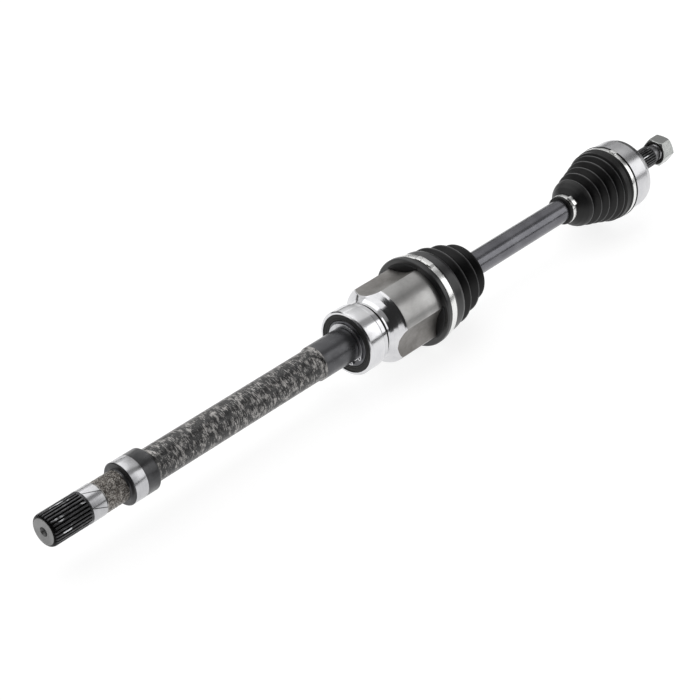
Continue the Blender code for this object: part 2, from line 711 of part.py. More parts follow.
def outer_boot():
    """The rubber boot between the half shaft and the bell, and its clamps."""
    small = [(361.8, 16.6), (364.8, 17.0), (365.0, 15.9), (371.4, 15.9), (371.7, 17.4)]
    small = stations(BEARING_FACE, small + [(371.7, 13.8), (361.8, 13.8)])
    turned("outer_boot_small_cuff", small, MEDIUM, black_rubber, cv_joint)
    clamp(
        "outer_boot_small_clamp",
        BEARING_FACE + 365.3 * MM,
        BEARING_FACE + 371.1 * MM,
        16.2 * MM,
        0.9 * MM,
        (12.0 * MM, 3.4 * MM, 5.4 * MM),
        126.0,
        MEDIUM,
        cv_joint,
    )
    dome = [(372.0, 17.4), (377.0, 22.5), (383.85, 27.4)]
    first = [(384.15, 27.5), (387.5, 28.6), (393.0, 23.7), (398.9, 32.2), (404.2, 27.0), (405.85, 29.2)]
    second = [(406.15, 29.6), (409.8, 35.0), (415.2, 30.3), (420.9, 38.3), (425.4, 33.4), (426.35, 34.4)]
    last = [(426.65, 34.8), (430.8, 41.0), (432.9, 38.9), (434.4, 42.8), (436.2, 43.0)]
    stretches = {"dome": dome, "first_pleats": first, "second_pleats": second, "last_pleats": last}
    for name, points in stretches.items():
        rubber_sleeve(f"outer_boot_{name}", stations(BEARING_FACE, points), cv_joint)
    start, end = OUTER_CUFF
    cuff = [
        (start, BELL_SEAT_R + GAP),
        (start, 43.0 * MM),
        (start + 7.5 * MM, 43.4 * MM),
        (start + 8.0 * MM, 42.4 * MM),
        (end - 2.6 * MM, 42.4 * MM),
        (end - 2.2 * MM, 44.0 * MM),
        (end, 43.6 * MM),
        (end, BELL_SEAT_R + GAP),
    ]
    turned("outer_boot_large_cuff", cuff, FINE, black_rubber, cv_joint)
    clamp(
        "outer_boot_large_clamp",
        start + 8.4 * MM,
        end - 3.0 * MM,
        42.7 * MM,
        1.0 * MM,
        (9.0 * MM, 3.2 * MM, 4.4 * MM),
        100.0,
        FINE,
        cv_joint,
    )


def bake_modifiers():
    """Gives each part its finished mesh, smooth on the round and sharp at the edges."""
    graph = bpy.context.evaluated_depsgraph_get()
    made = [obj for obj in parts.objects if obj.type == "MESH"]
    meshes = [bpy.data.meshes.new_from_object(obj.evaluated_get(graph)) for obj in made]
    for obj, mesh in zip(made, meshes):
        mesh.name = obj.name
        obj.modifiers.clear()
        obj.data = mesh
        mesh.shade_smooth()
        mesh.set_sharp_from_angle(angle=math.radians(35.0))


clear_scene()
parts = new_collection("cv_axle")
cutters = new_collection("cutters")

dark_steel = new_material("forged_steel", (0.16, 0.15, 0.14), 0.9, 0.5)
painted_steel = new_material("painted_steel", (0.05, 0.05, 0.055), 0.2, 0.45)
ground_steel = new_material("ground_steel", (0.62, 0.62, 0.64), 1.0, 0.25)
pale_steel = new_material("pale_steel", (0.7, 0.7, 0.7), 1.0, 0.35)
zinc_steel = new_material("zinc_steel", (0.5, 0.51, 0.5), 0.9, 0.4)
black_rubber = new_material("black_rubber", (0.02, 0.02, 0.021), 0.0, 0.5)

driveline = new_empty("driveline", 0.0)
bearing = new_empty("support_bearing", BEARING_CENTRE)
tripod_joint = new_empty("tripod_joint", TRIPOD_X)
cv_joint = new_empty("cv_joint", CV_X)

intermediate_shaft()
support_bearing()
tripod()
half_shaft()
fixed_joint()
axle_nut()
inner_boot()
outer_boot()
bpy.context.view_layer.update()
bake_modifiers()
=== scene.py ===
"""Finished look of a front-wheel-drive CV axle: every piece that shows is remade at full roundness.

The axle's line is the X axis. Stations along it are in millimetres from a named base, and sizes across it
are radii in millimetres."""

import json
import math

import bpy
from mathutils import Matrix, Vector, noise

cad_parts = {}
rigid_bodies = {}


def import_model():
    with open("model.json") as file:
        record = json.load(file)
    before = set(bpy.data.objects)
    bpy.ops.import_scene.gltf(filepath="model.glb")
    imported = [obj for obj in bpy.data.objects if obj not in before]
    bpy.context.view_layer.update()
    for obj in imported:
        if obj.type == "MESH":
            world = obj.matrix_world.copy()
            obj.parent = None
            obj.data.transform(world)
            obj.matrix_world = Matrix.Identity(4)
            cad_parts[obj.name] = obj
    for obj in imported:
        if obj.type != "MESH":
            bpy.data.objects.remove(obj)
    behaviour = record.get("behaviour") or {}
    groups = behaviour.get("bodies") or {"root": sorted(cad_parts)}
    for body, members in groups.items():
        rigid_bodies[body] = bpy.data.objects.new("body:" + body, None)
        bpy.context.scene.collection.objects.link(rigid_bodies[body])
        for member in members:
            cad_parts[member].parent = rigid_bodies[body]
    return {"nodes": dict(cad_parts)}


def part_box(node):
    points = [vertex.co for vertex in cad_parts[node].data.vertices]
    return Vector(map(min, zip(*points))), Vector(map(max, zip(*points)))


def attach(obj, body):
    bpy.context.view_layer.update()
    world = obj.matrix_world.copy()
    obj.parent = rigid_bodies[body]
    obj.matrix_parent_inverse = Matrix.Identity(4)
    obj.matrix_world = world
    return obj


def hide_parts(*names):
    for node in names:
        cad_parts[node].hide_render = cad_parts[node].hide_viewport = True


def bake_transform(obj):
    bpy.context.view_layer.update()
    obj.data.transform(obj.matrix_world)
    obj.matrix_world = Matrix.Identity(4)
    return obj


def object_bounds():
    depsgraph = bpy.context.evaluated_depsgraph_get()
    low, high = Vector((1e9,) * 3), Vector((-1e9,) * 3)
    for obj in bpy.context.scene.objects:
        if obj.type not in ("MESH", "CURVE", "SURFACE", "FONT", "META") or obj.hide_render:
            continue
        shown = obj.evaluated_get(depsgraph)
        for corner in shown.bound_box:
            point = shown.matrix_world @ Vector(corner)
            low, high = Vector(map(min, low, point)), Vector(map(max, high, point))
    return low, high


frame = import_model()
cad_box = [list(corner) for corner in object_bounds()]

MM = 0.001
GEARBOX_END = cad_box[0][0]
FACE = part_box("bearing_outer_ring")[0][0]
CV_X = (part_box("cv_ball_cage")[0][0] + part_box("cv_ball_cage")[1][0]) / 2
NUT_X = (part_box("axle_nut")[0][0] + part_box("axle_nut")[1][0]) / 2
FLOOR_Z = cad_box[0][2] - 0.4 * MM

LOBE_ANGLES = [math.radians(9.0 + 120.0 * i) for i in range(3)]
VALLEY_ANGLES = [angle + math.radians(60.0) for angle in LOBE_ANGLES]
# The gearbox spline's roots are painted near black, as shade, up to the third radius here.
SPLINE_TIP, SPLINE_ROOT, SPLINE_SHADE_FROM = 16.8, 15.1, 15.3
STUB_TIP, STUB_ROOT = 12.6, 11.5
PILOT_RADIUS, NECK_RADIUS, LAND_RADIUS, BAR_RADIUS = 17.0, 16.3, 22.5, 17.5


# ---------------------------------------------------------------- finishes


class Finish:
    """A node material, with short calls for the textures that the finishes below share."""

    def __init__(self, name, metallic=0.0, roughness=0.5):
        self.material = bpy.data.materials.new(name)
        self.material.use_nodes = True
        self.tree = self.material.node_tree
        self.shader = self.tree.nodes["Principled BSDF"]
        self.shader.inputs["Metallic"].default_value = metallic
        self.shader.inputs["Roughness"].default_value = roughness
        self.height = None

    def add(self, kind, inputs=(), **settings):
        node = self.tree.nodes.new(kind)
        for key, value in settings.items():
            setattr(node, key, value)
        for key, value in dict(inputs).items():
            if isinstance(value, bpy.types.NodeSocket):
                self.tree.links.new(value, node.inputs[key])
            else:
                node.inputs[key].default_value = value
        return node

    def maths(self, operation, *values, clamp=False):
        inputs = dict(enumerate(values))
        return self.add("ShaderNodeMath", inputs, operation=operation, use_clamp=clamp).outputs[0]

    def weighted(self, *terms):
        """Sum of values, each given with its weight."""
        total = None
        for value, weight in terms:
            term = self.maths("MULTIPLY", value, weight)
            total = term if total is None else self.maths("ADD", total, term)
        return total

    def position(self):
        return self.add("ShaderNodeTexCoord").outputs["Object"]

    def coordinates(self):
        """The three coordinates, and the distance from the axle's line."""
        x, y, z = self.add("ShaderNodeSeparateXYZ", {0: self.position()}).outputs
        squares = self.maths("ADD", self.maths("MULTIPLY", y, y), self.maths("MULTIPLY", z, z))
        return x, y, z, self.maths("SQRT", squares)

    def wrapped(self, along, around):
        """Coordinates on the turned surface: along its outline per metre, and once round it in this many
        units."""
        x, y, z, radius = self.coordinates()
        radius = self.maths("MAXIMUM", radius, 0.0005)
        run = self.maths("MULTIPLY", self.maths("ADD", x, radius), along)
        side = self.maths("MULTIPLY", self.maths("DIVIDE", y, radius), around)
        up = self.maths("MULTIPLY", self.maths("DIVIDE", z, radius), around)
        return self.add("ShaderNodeCombineXYZ", {0: run, 1: side, 2: up}).outputs[0]

    def noise(self, vector, scale=1.0, detail=3.0, roughness=0.55, distortion=0.0):
        settings = {"Vector": vector, "Scale": scale, "Detail": detail, "Roughness": roughness}
        return self.add("ShaderNodeTexNoise", {**settings, "Distortion": distortion}).outputs["Fac"]

    def ramp(self, value, stops, smooth=False):
        """Maps a value to a colour or a grey through (position, colour) stops."""
        node = self.add("ShaderNodeValToRGB", {0: value})
        elements = node.color_ramp.elements
        node.color_ramp.interpolation = "EASE" if smooth else "LINEAR"
        while len(elements) < len(stops):
            elements.new(0.5)
        for element, (place, colour) in zip(elements, stops):
            element.position = place
            grey = isinstance(colour, (int, float))
            element.color = (colour, colour, colour, 1.0) if grey else (*colour, 1.0)
        return node.outputs["Color"]

    def mix(self, factor, first, second, blend="MIX"):
        node = self.add("ShaderNodeMix", data_type="RGBA", blend_type=blend)
        for socket, value in ((node.inputs[0], factor), (node.inputs[6], first), (node.inputs[7], second)):
            if isinstance(value, bpy.types.NodeSocket):
                self.tree.links.new(value, socket)
            else:
                socket.default_value = value if socket is node.inputs[0] else (*value, 1.0)
        return node.outputs[2]

    def colour(self, socket):
        self.tree.links.new(socket, self.shader.inputs["Base Color"])

    def rough(self, socket):
        self.tree.links.new(socket, self.shader.inputs["Roughness"])

    def metal(self, socket):
        self.tree.links.new(socket, self.shader.inputs["Metallic"])

    def bump(self, height, distance, strength=1.0):
        inputs = {"Height": height, "Distance": distance, "Strength": strength}
        if self.height is not None:
            inputs["Normal"] = self.height
        self.height = self.add("ShaderNodeBump", inputs).outputs["Normal"]
        self.tree.links.new(self.height, self.shader.inputs["Normal"])


def turned_steel(name, light, dark, roughness, spread, lines=900.0, line_depth=0.6e-6):
    """Bright steel with fine turning or grinding lines round it, and faint cloudy handling marks."""
    made = Finish(name, metallic=1.0, roughness=roughness)
    rings = made.noise(made.wrapped(lines, 0.35), detail=4.0, roughness=0.7)
    clouds = made.noise(made.position(), scale=70.0, detail=4.0)
    tone = made.weighted((rings, 0.35), (clouds, 0.65))
    made.colour(made.ramp(tone, [(0.3, dark), (0.62, light)]))
    made.rough(made.ramp(tone, [(0.25, roughness + spread), (0.7, roughness)]))
    made.bump(rings, line_depth)
    return made


def forged_scale(name="forged_scale", worn_and_glint=0.0):
    """Black forging scale, broken by pale rubbed patches that are drawn out round the bar."""
    made = Finish(name, metallic=0.72, roughness=0.5)
    patches = made.noise(made.wrapped(170.0, 2.2), detail=3.0, roughness=0.6, distortion=0.5)
    streaks = made.noise(made.wrapped(900.0, 3.0), detail=4.0, roughness=0.6, distortion=0.2)
    specks = made.noise(made.wrapped(1500.0, 14.0), detail=3.0, roughness=0.6)
    rubbed_and_glint = made.weighted((patches, 0.46), (streaks, 0.46), (specks, 0.14))
    mask = made.ramp(rubbed_and_glint, [(0.53 - worn_and_glint, 0.0), (0.575 - worn_and_glint, 0.5), (0.635 - worn_and_glint, 1.0)])
    dark = made.ramp(specks, [(0.35, (0.03, 0.03, 0.031)), (0.68, (0.085, 0.084, 0.083))])
    pale = made.ramp(specks, [(0.3, (0.3, 0.29, 0.28)), (0.7, (0.62, 0.6, 0.58))])
    made.colour(made.mix(mask, dark, pale))
    made.rough(made.ramp(mask, [(0.0, 0.3), (1.0, 0.5)]))
    made.bump(streaks, 0.00016)
    made.bump(specks, 0.00006)
    return made


def forged_neck():
    """Brown-grey as-forged skin with clustered bright pits."""
    made = Finish("forged_neck", metallic=0.92, roughness=0.4)
    lumps = made.noise(made.wrapped(330.0, 6.0), detail=6.0, roughness=0.66, distortion=0.4)
    specks = made.noise(made.wrapped(900.0, 16.0), detail=3.0)
    browns = [(0.34, (0.03, 0.026, 0.024)), (0.52, (0.15, 0.135, 0.12)), (0.66, (0.5, 0.47, 0.44))]
    brown = made.ramp(lumps, browns)
    made.colour(made.mix(made.ramp(specks, [(0.56, 0.0), (0.66, 0.85)]), brown, (0.72, 0.7, 0.67)))
    made.rough(made.ramp(specks, [(0.3, 0.4), (0.75, 0.2)]))
    made.bump(lumps, 0.0019)
    made.bump(specks, 0.0003)
    return made


def charcoal_steel(name, light, dark, roughness=0.3):
    """Dark phosphated steel with a satin face, faint turning lines and a few pale handling nicks."""
    made = Finish(name, metallic=0.75, roughness=roughness)
    rings = made.noise(made.wrapped(1300.0, 0.8), detail=4.0, roughness=0.7)
    clouds = made.noise(made.position(), scale=95.0, detail=5.0, roughness=0.6)
    nicks = made.noise(made.position(), scale=420.0, detail=2.0)
    base = made.ramp(clouds, [(0.32, dark), (0.68, light)])
    made.colour(made.mix(made.ramp(nicks, [(0.71, 0.0), (0.78, 0.75)]), base, (0.34, 0.34, 0.35)))
    made.rough(made.ramp(clouds, [(0.3, roughness + 0.05), (0.7, roughness - 0.04)]))
    made.bump(rings, 1.5e-6)
    made.bump(clouds, 0.00001)
    return made


def oily_spline_painted_shade(name, root, tip):
    """Dark, oily toothed steel. Its tone rises between these radii, from painted shade, near black, in the
    roots to glossy flanks, and random patches of the crests carry a painted highlight in light grey."""
    made = Finish(name, metallic=0.95, roughness=0.22)
    film = made.noise(made.wrapped(150.0, 7.0), detail=5.0, roughness=0.62)
    glint_noise = made.noise(made.wrapped(55.0, 2.4), detail=2.0)
    grain = made.noise(made.position(), scale=900.0, detail=2.0)
    radius = made.coordinates()[3]
    height = made.maths("DIVIDE", made.maths("SUBTRACT", radius, root), tip - root, clamp=True)
    greys = [(0.3, (0.03, 0.03, 0.031)), (0.55, (0.065, 0.065, 0.068)), (0.75, (0.17, 0.17, 0.175))]
    base = made.ramp(film, greys)
    # Painted shade: below the flanks the roots are painted near black.
    base = made.mix(made.ramp(height, [(0.2, 0.0), (0.8, 1.0)]), (0.006, 0.006, 0.006), base)
    # Painted highlight: random patches of the crests are painted light grey, as glints.
    worn_and_glint, crest = made.ramp(glint_noise, [(0.6, 0.0), (0.66, 0.9)]), made.ramp(height, [(0.85, 0.0), (0.97, 1.0)])
    rubbed_and_glint = made.maths("MULTIPLY", worn_and_glint, crest)
    made.colour(made.mix(rubbed_and_glint, base, (0.72, 0.73, 0.75)))
    made.rough(made.ramp(film, [(0.3, 0.16), (0.7, 0.34)]))
    made.bump(grain, 0.00001)
    return made


def pilot_steel():
    """Ground pilot land, crossed by thin dark oil scrolls that wind slowly round it."""
    made = turned_steel("ground_pilot_land", (0.52, 0.52, 0.53), (0.42, 0.42, 0.44), 0.19, 0.08)
    x, y, z, _ = made.coordinates()
    turns = made.maths("MULTIPLY", made.maths("ARCTAN2", z, y), 6.0 / math.tau)
    winding = made.maths("MULTIPLY", made.maths("SUBTRACT", x, GEARBOX_END), -24.0)
    phase = made.maths("FRACT", made.maths("ADD", made.maths("ADD", turns, winding), 20.05))
    off_line = made.maths("ABSOLUTE", made.maths("SUBTRACT", phase, 0.5))
    line = made.ramp(off_line, [(0.016, 1.0), (0.034, 0.0)])
    plain = made.shader.inputs["Base Color"].links[0].from_socket
    made.colour(made.mix(line, plain, (0.05, 0.05, 0.05)))
    made.bump(line, -0.00005)
    return made


def lobe_steel():
    """Satin grey skin of the tripod housing: brushed along the axle, stained, with paler rubbed patches."""
    made = Finish("housing_lobe_steel", metallic=0.92, roughness=0.4)
    stain = made.noise(made.position(), scale=34.0, detail=6.0, roughness=0.6, distortion=0.5)
    fine = made.noise(made.wrapped(260.0, 60.0), detail=4.0, roughness=0.65)
    tone = made.weighted((stain, 0.75), (fine, 0.25))
    greys = [(0.32, (0.31, 0.306, 0.3)), (0.5, (0.38, 0.376, 0.37)), (0.68, (0.46, 0.456, 0.45))]
    made.colour(made.ramp(tone, greys))
    made.rough(made.ramp(tone, [(0.3, 0.36), (0.7, 0.28)]))
    made.bump(fine, 0.00001)
    made.bump(stain, 0.00002)
    return made


def valley_steel():
    """As-forged skin in the valleys of the tripod housing: warm grey and duller than the lobes."""
    made = Finish("housing_valley_steel", metallic=0.85, roughness=0.46)
    stain = made.noise(made.position(), scale=40.0, detail=6.0, roughness=0.62)
    fine = made.noise(made.position(), scale=650.0, detail=3.0)
    greys = [(0.3, (0.17, 0.162, 0.152)), (0.55, (0.26, 0.25, 0.24)), (0.75, (0.37, 0.36, 0.35))]
    made.colour(made.ramp(stain, greys))
    made.rough(made.ramp(fine, [(0.3, 0.5), (0.7, 0.38)]))
    made.bump(fine, 0.00003)
    made.bump(stain, 0.00012)
    return made


def rubber(name, dark, light, roughness, gloss):
    """Moulded black rubber: a fine skin, faint flow marks and a little dust that greys it."""
    made = Finish(name, roughness=roughness)
    made.shader.inputs["Specular IOR Level"].default_value = gloss
    flow = made.noise(made.wrapped(150.0, 3.0), detail=4.0)
    skin = made.noise(made.position(), scale=1500.0, detail=2.0)
    dust = made.noise(made.position(), scale=110.0, detail=6.0, roughness=0.68)
    tone = made.weighted((flow, 0.4), (dust, 0.6))
    made.colour(made.ramp(tone, [(0.3, dark), (0.72, light)]))
    made.rough(made.ramp(tone, [(0.3, roughness - 0.06), (0.7, roughness + 0.1)]))
    made.bump(skin, 0.00001)
    made.bump(flow, 0.00003)
    return made


def shaft_paint():
    """Dark grey satin coating with a metallic lustre and a slight orange-peel face."""
    made = Finish("halfshaft_paint", metallic=0.85, roughness=0.22)
    peel = made.noise(made.position(), scale=520.0, detail=2.0)
    drift = made.noise(made.position(), scale=45.0, detail=5.0)
    made.colour(made.ramp(drift, [(0.3, (0.12, 0.12, 0.132)), (0.7, (0.19, 0.19, 0.205))]))
    made.rough(made.ramp(drift, [(0.3, 0.2), (0.7, 0.27)]))
    made.bump(peel, 0.00001)
    return made


def clamp_steel():
    """Stainless band: brushed round its length, with small dull scuffs."""
    made = Finish("clamp_steel", metallic=1.0, roughness=0.24)
    brush = made.noise(made.wrapped(2200.0, 1.6), detail=3.0, roughness=0.7)
    scuffs = made.noise(made.position(), scale=180.0, detail=5.0, roughness=0.65)
    made.colour(made.ramp(scuffs, [(0.28, (0.74, 0.74, 0.73)), (0.45, (0.82, 0.82, 0.81))]))
    made.rough(made.ramp(scuffs, [(0.3, 0.27), (0.5, 0.22)]))
    made.bump(brush, 2e-6)
    return made


def zinc_plate():
    """Bright zinc plating on the nut, slightly clouded and greyer at random."""
    made = Finish("zinc_plate", metallic=0.95, roughness=0.34)
    clouds = made.noise(made.position(), scale=260.0, detail=5.0, roughness=0.6)
    cells = made.add("ShaderNodeTexVoronoi", {"Vector": made.position(), "Scale": 900.0})
    made.colour(made.ramp(clouds, [(0.3, (0.36, 0.37, 0.36)), (0.7, (0.46, 0.47, 0.46))]))
    made.rough(made.ramp(clouds, [(0.3, 0.24), (0.7, 0.18)]))
    made.bump(cells.outputs["Distance"], 0.000004)
    return made


scale_steel = forged_scale()
neck_steel = forged_neck()
charcoal = charcoal_steel("charcoal_steel", (0.11, 0.111, 0.117), (0.085, 0.085, 0.09))
# The dark band's finish also covers the seal land's near flank, as painted shade.
dark_band_and_flank_shade = charcoal_steel("dark_seal_band_and_flank_shade", (0.085, 0.085, 0.088), (0.045, 0.045, 0.047))
# Near-black steel: painted shade in the housing's groove and in the nut's countersink and bore.
near_black_shade = charcoal_steel("near_black_painted_shade_steel", (0.03, 0.028, 0.026), (0.008, 0.008, 0.008), 0.55)
worn_scale = forged_scale("rubbed_scale", 0.045)
# Both toothed finishes carry painted shade in their roots and painted highlights on their crests.
spline_steel = oily_spline_painted_shade("oily_spline_painted_shade_steel", SPLINE_SHADE_FROM * MM, SPLINE_TIP * MM)
stub_teeth = oily_spline_painted_shade("oily_stub_teeth_painted_shade", STUB_ROOT * MM, STUB_TIP * MM)
end_steel = turned_steel("faced_end_steel", (0.3, 0.3, 0.3), (0.2, 0.2, 0.2), 0.42, 0.08, 2500.0, 2e-6)
pilot = pilot_steel()
polished = turned_steel("polished_steel", (0.7, 0.7, 0.71), (0.58, 0.58, 0.6), 0.13, 0.05)
land_steel = turned_steel("ground_seal_land", (0.54, 0.54, 0.55), (0.45, 0.45, 0.47), 0.2, 0.08)
ground = turned_steel("ground_steel", (0.64, 0.64, 0.65), (0.55, 0.55, 0.57), 0.22, 0.08, 1500.0)
ring_steel = turned_steel("bearing_ring_steel", (0.74, 0.74, 0.75), (0.66, 0.66, 0.68), 0.17, 0.05, 1800.0)
# The inner ring is made near black, much darker than the other ground rings.
race_steel = turned_steel("inner_ring_steel", (0.16, 0.16, 0.17), (0.06, 0.06, 0.065), 0.3, 0.1, 1500.0)
stub_steel = turned_steel("stub_relief_steel", (0.42, 0.42, 0.43), (0.3, 0.3, 0.31), 0.3, 0.1, 1500.0, 2e-6)
spring_steel = turned_steel("spring_steel", (0.6, 0.6, 0.61), (0.38, 0.38, 0.4), 0.24, 0.1)
lobe = lobe_steel()
valley = valley_steel()
boot_rubber = rubber("boot_rubber", (0.0015, 0.0015, 0.0017), (0.0045, 0.0045, 0.005), 0.4, 0.34)
inner_rubber = rubber("inner_boot_rubber", (0.003, 0.003, 0.0034), (0.008, 0.008, 0.009), 0.3, 0.7)
# A darker copy of the inner boot's rubber, as painted shade on its pleats; its band and cuffs keep the
# lighter one.
shaded_pleat_rubber = rubber("inner_boot_pleat_rubber", (0.002, 0.002, 0.0022), (0.005, 0.005, 0.0055), 0.4, 0.3)
seal_rubber = rubber("seal_rubber", (0.012, 0.012, 0.012), (0.026, 0.026, 0.025), 0.5, 0.3)
# Painted highlight: the thin light lines along the boots' pleat crests.
crest_highlight_rubber = rubber("boot_crest_painted_highlight", (0.011, 0.011, 0.012), (0.028, 0.028, 0.031), 0.32, 0.8)
bush_rubber = rubber("bush_rubber", (0.004, 0.004, 0.0045), (0.01, 0.01, 0.011), 0.5, 0.3)
paint = shaft_paint()
band_steel = clamp_steel()
zinc = zinc_plate()


# ---------------------------------------------------------------- meshes


def polar(x, radius, angle):
    return (x, radius * math.cos(angle), radius * math.sin(angle))


def placed(name, data):
    """Puts a new object that holds this data into the scene."""
    made = bpy.data.objects.new(name, data)
    bpy.context.scene.collection.objects.link(made)
    return made


def smoothed(mesh, sharp):
    """Shades a mesh smooth, but for edges sharper than this angle in degrees."""
    mesh.shade_smooth()
    mesh.set_sharp_from_angle(angle=math.radians(sharp))


def fillet(before, corner, after, radius, steps):
    """Points that round a corner off, from the first side to the second."""
    corner = Vector(corner)
    back, ahead = Vector(before) - corner, Vector(after) - corner
    first, second = back.normalized(), ahead.normalized()
    half = max(first.angle(second, 0.0) / 2, 0.05)
    reach = min(radius / math.tan(half), 0.48 * min(back.length, ahead.length))
    start, end = corner + first * reach, corner + second * reach
    points = []
    for i in range(steps + 1):
        t = i / steps
        points.append(tuple(start * (1 - t) ** 2 + corner * (2 * t * (1 - t)) + end * t * t))
    return points


def outline(base, corners, steps=4, longest=None, closed=False):
    """Turns (x, radius, fillet) corners in millimetres from a base station into metres, and rounds them.
    No stretch is left longer than the longest one allowed."""
    plain = [(x, r) for x, r, *_ in corners]
    count = len(plain)
    points = []
    for i, (x, r, *extra) in enumerate(corners):
        radius = extra[0] if extra else 0.0
        if radius and (closed or 0 < i < count - 1):
            points += fillet(plain[i - 1], plain[i], plain[(i + 1) % count], radius, steps)
        else:
            points.append((x, r))
    if longest:
        dense = [points[0]]
        for start, end in zip(points, points[1:]):
            pieces = max(1, math.ceil(math.dist(start, end) / longest))
            for i in range(1, pieces + 1):
                dense.append(tuple(a + (b - a) * i / pieces for a, b in zip(start, end)))
        points = dense
    return [(base + x * MM, r * MM) for x, r in points]


def finish_mesh(name, verts, faces, finishes, indices, sharp):
    mesh = bpy.data.meshes.new(name)
    mesh.from_pydata(verts, [], faces)
    for finish in finishes:
        mesh.materials.append(finish.material)
    mesh.polygons.foreach_set("material_index", indices)
    mesh.update()
    smoothed(mesh, sharp)
    return placed(name, mesh)


def skin(name, rows, finishes, finish_of=None, closed=False, sharp=32.0):
    """Joins rings of points into one surface. A ring of a single point is a pole, and finish_of gives each
    band between two rings, at each column, the number of its finish."""
    verts, starts = [], []
    for row in rows:
        starts.append(len(verts))
        verts += row
    faces, indices = [], []
    pairs = list(zip(range(len(rows)), range(1, len(rows))))
    if closed:
        pairs.append((len(rows) - 1, 0))
    columns = max(len(row) for row in rows)
    for a, b in pairs:
        for i in range(columns):
            j = (i + 1) % columns
            first, second = starts[a], starts[b]
            if len(rows[a]) == 1:
                face = (first, second + i, second + j)
            elif len(rows[b]) == 1:
                face = (first + i, second, first + j)
            else:
                face = (first + i, second + i, second + j, first + j)
            faces.append(face)
            indices.append(finish_of(a, i) if finish_of else 0)
    return finish_mesh(name, verts, faces, finishes, indices, sharp)


def ring_of(x, radius, segments):
    if radius < 1e-7:
        return [(x, 0.0, 0.0)]
    return [polar(x, radius, math.tau * i / segments) for i in range(segments)]


def keep(obj, body, slot, *nodes):
    """Hides the plain solids that a finished piece stands for and puts it on the body it rides on. The slot
    is not used.
    """
    if nodes:
        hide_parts(*nodes)
    if body:
        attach(obj, body)
    return obj


def lathe(name, sections, segments=144, closed=False, rough=None, sharp=32.0):
    """A turned piece. Sections are (finish, points), end to end, and rough(x, angle) pushes the surface
    outwards."""
    finishes, points, numbers = [], [], []
    for finish, run in sections:
        if finish not in finishes:
            finishes.append(finish)
        if points and math.dist(points[-1], run[0]) < 1e-7:
            run = run[1:]
        if numbers:
            numbers[-1] = finishes.index(finish)
        points += run
        numbers += [finishes.index(finish)] * len(run)
    rows = []
    for x, radius in points:
        row = ring_of(x, radius, segments)
        if rough and len(row) > 1:
            angles = [math.atan2(z, y) for _, y, z in row]
            row = [polar(x, radius + rough(x, angle), angle) for angle in angles]
        rows.append(row)
    return skin(name, rows, finishes, lambda a, i: numbers[a], closed, sharp)


def turned_ring(name, finish, corners, segments):
    """A turned piece of one finish whose outline closes on itself, measured from the bearing's near face."""
    return lathe(name, [(finish, outline(FACE, corners, closed=True))], segments, closed=True)


def smooth_min(a, b, width):
    near = max(width - abs(a - b), 0.0) / width
    return min(a, b) - near * near * width / 4


def noise_at(x, angle, radius, fine):
    """Seamless noise on a round bar, from about -0.5 to 0.5, with this many features to the millimetre."""
    point = Vector((x / MM * fine, radius * math.cos(angle) * fine, radius * math.sin(angle) * fine))
    return noise.fractal(point, 0.8, 2.0, 3) * 0.5


# ---------------------------------------------------------------- splines and threads


def tooth_profile(tip, root, teeth):
    """Angles and radii of one ring of spline teeth, with slanted flanks and rounded tips and roots."""
    shape = [(0.0, 0.0), (0.08, 0.0), (0.13, 0.06), (0.18, 0.3), (0.24, 0.75), (0.28, 0.94), (0.33, 1.0)]
    shape += [(0.5, 1.0), (0.67, 1.0), (0.72, 0.94), (0.76, 0.75), (0.82, 0.3), (0.87, 0.06), (0.92, 0.0)]
    ring = []
    for tooth in range(teeth):
        for place, height in shape:
            ring.append(((tooth + place) / teeth * math.tau, root + (tip - root) * height))
    return ring


def splined_rod(name, base, rows, tip, root, teeth, finishes, numbers, start_cap, end_cap):
    """A toothed rod. Rows are (x, least radius, greatest radius) in millimetres, which cut the chamfer and
    the cutter's run-out. Caps are (x, radius) points that close each end."""
    ring = tooth_profile(tip, root, teeth)
    made = []
    for x, low, high in rows:
        x = base + x * MM
        made.append([polar(x, min(max(radius, low), high) * MM, angle) for angle, radius in ring])

    def plain(x, radius):
        if radius == 0.0:
            return [(base + x * MM, 0.0, 0.0)]
        return [polar(base + x * MM, radius * MM, angle) for angle, _ in ring]

    before = [plain(x, r) for x, r in start_cap]
    after = [plain(x, r) for x, r in end_cap]
    first, last = len(before), len(before) + len(made) - 1

    def number(a, _):
        return numbers[0] if a < first else (numbers[2] if a >= last else numbers[1])

    return skin(name, before + made + after, finishes, number, sharp=38.0)


def spline_rows(start, end, tip, root, lead, run_out, core):
    """Rows of a spline: a rounded lead-in, full teeth, and roots that rise out at the far end."""
    rows = []
    for i in range(7):
        turn = math.radians(90.0) * i / 6
        rows.append((start + lead * 1.3 * (1 - math.cos(turn)), 0.0, tip - lead * (1 - math.sin(turn))))
    first, full = rows[-1][0], end - run_out
    rows += [(first + (full - first) * i / 8, 0.0, tip) for i in range(1, 9)]
    for i in range(1, 7):
        t = i / 6
        rows.append((full + run_out * t, root + (core - root) * t * t, max(tip, core)))
    return rows


# ---------------------------------------------------------------- intermediate shaft

spline = splined_rod(
    "gearbox_spline",
    GEARBOX_END,
    spline_rows(0.35, 45.2, SPLINE_TIP, SPLINE_ROOT, 3.0, 3.6, 16.98),
    SPLINE_TIP,
    SPLINE_ROOT,
    28,
    [end_steel, spline_steel],
    (0, 1, 1),
    [(9.5, 0.0), (8.2, 2.6), (5.2, 2.8), (2.0, 4.5), (0.4, 4.9), (0.2, 5.3), (0.2, 11.9), (0.0, 12.3)]
    + [(0.0, 13.2)],
    [(47.0, 15.0), (47.0, 0.0)],
)
keep(spline, "inboard_shaft", "forged_steel", "intermediate_shaft")


NECK_SPAN, BAR_SPAN = (64.5, 91.5), (128.0, 356.0)


